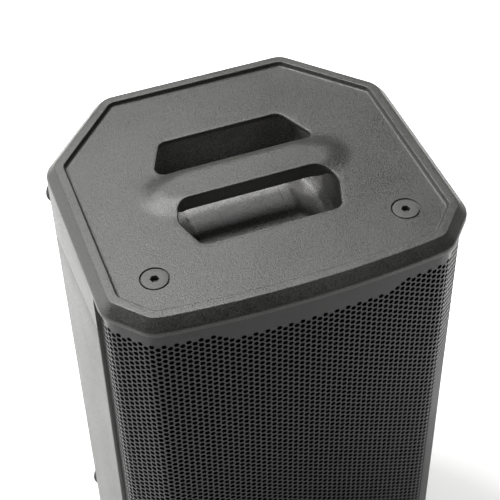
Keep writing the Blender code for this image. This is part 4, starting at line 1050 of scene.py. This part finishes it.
def make_stage():
    """A wide pale floor; a little light of its own keeps it near white."""
    shape = bmesh.new()
    bmesh.ops.create_grid(shape, x_segments=2, y_segments=2, size=6.0)
    floor = from_bmesh("floor", shape)
    made = bpy.data.materials.new("floor")
    made.use_nodes = True
    tree = made.node_tree
    shader = tree.nodes["Principled BSDF"]
    noise = node(tree, "ShaderNodeTexNoise", Scale=3.0, Detail=2.0)
    tree.links.new(node(tree, "ShaderNodeTexCoord").outputs["Object"], noise.inputs["Vector"])
    tone = ramp(tree, noise.outputs["Fac"], [(0.3, (0.90, 0.90, 0.895)), (0.7, (0.92, 0.92, 0.915))])
    tree.links.new(tone, shader.inputs["Base Color"])
    shader.inputs["Roughness"].default_value = 0.9
    shader.inputs["Specular IOR Level"].default_value = 0.0
    shader.inputs["Emission Color"].default_value = (1.0, 1.0, 0.99, 1)
    shader.inputs["Emission Strength"].default_value = 0.12
    paint(floor, made)


def area(name, place, target, size, energy, size_y=None):
    """A rectangular lamp at a place, turned to a target."""
    data = bpy.data.lights.new(name, "AREA")
    data.energy = energy
    data.shape = "RECTANGLE"
    data.size = size
    data.size_y = size_y or size
    obj = bpy.data.objects.new(name, data)
    obj.location = place
    obj.rotation_euler = (Vector(target) - Vector(place)).to_track_quat("-Z", "Y").to_euler()
    bpy.context.scene.collection.objects.link(obj)


def make_lights():
    area("key", (0.02, 1.04, 1.84), (0, 0, 0.45), 0.55, 15)
    area("overhead", (-0.36, 0.36, 1.85), (0, 0, 0.45), 0.4, 33)
    area("side", (-1.50, 0.70, 0.85), (0, 0, 0.38), 0.7, 14, size_y=0.8)
    # low and facing down, these two whiten the floor behind and beside the object, but not its top
    area("sweep_rear", (0.2, 1.60, 0.44), (0.2, 1.6001, 0.0), 2.6, 48, size_y=1.8)
    area("sweep_right", (1.30, -0.2, 0.44), (1.30, -0.1999, 0.0), 1.3, 14, size_y=1.4)
    world = bpy.data.worlds.new("world")
    world.use_nodes = True
    background = world.node_tree.nodes["Background"]
    background.inputs["Color"].default_value = (1, 1, 1, 1)
    background.inputs["Strength"].default_value = 0.08
    bpy.context.scene.world = world
    bpy.context.scene.view_settings.view_transform = "Standard"


def make_camera():
    """The photograph's viewpoint and lens."""
    camera = bpy.data.cameras.new("camera")
    camera.sensor_width = 36.0
    camera.lens = 99.14
    eye = bpy.data.objects.new("camera", camera)
    right = Vector((0.936552, -0.350103, -0.017273))
    up = Vector((0.261421, 0.664795, 0.699791))
    back = Vector((-0.233517, -0.659906, 0.714139))
    turn = Matrix((right, up, back)).transposed().to_4x4()
    eye.matrix_world = Matrix.Translation((-0.26131, -0.74388, 1.20767)) @ turn
    bpy.context.scene.collection.objects.link(eye)
    bpy.context.scene.camera = eye


make_stage()
make_lights()
make_camera()
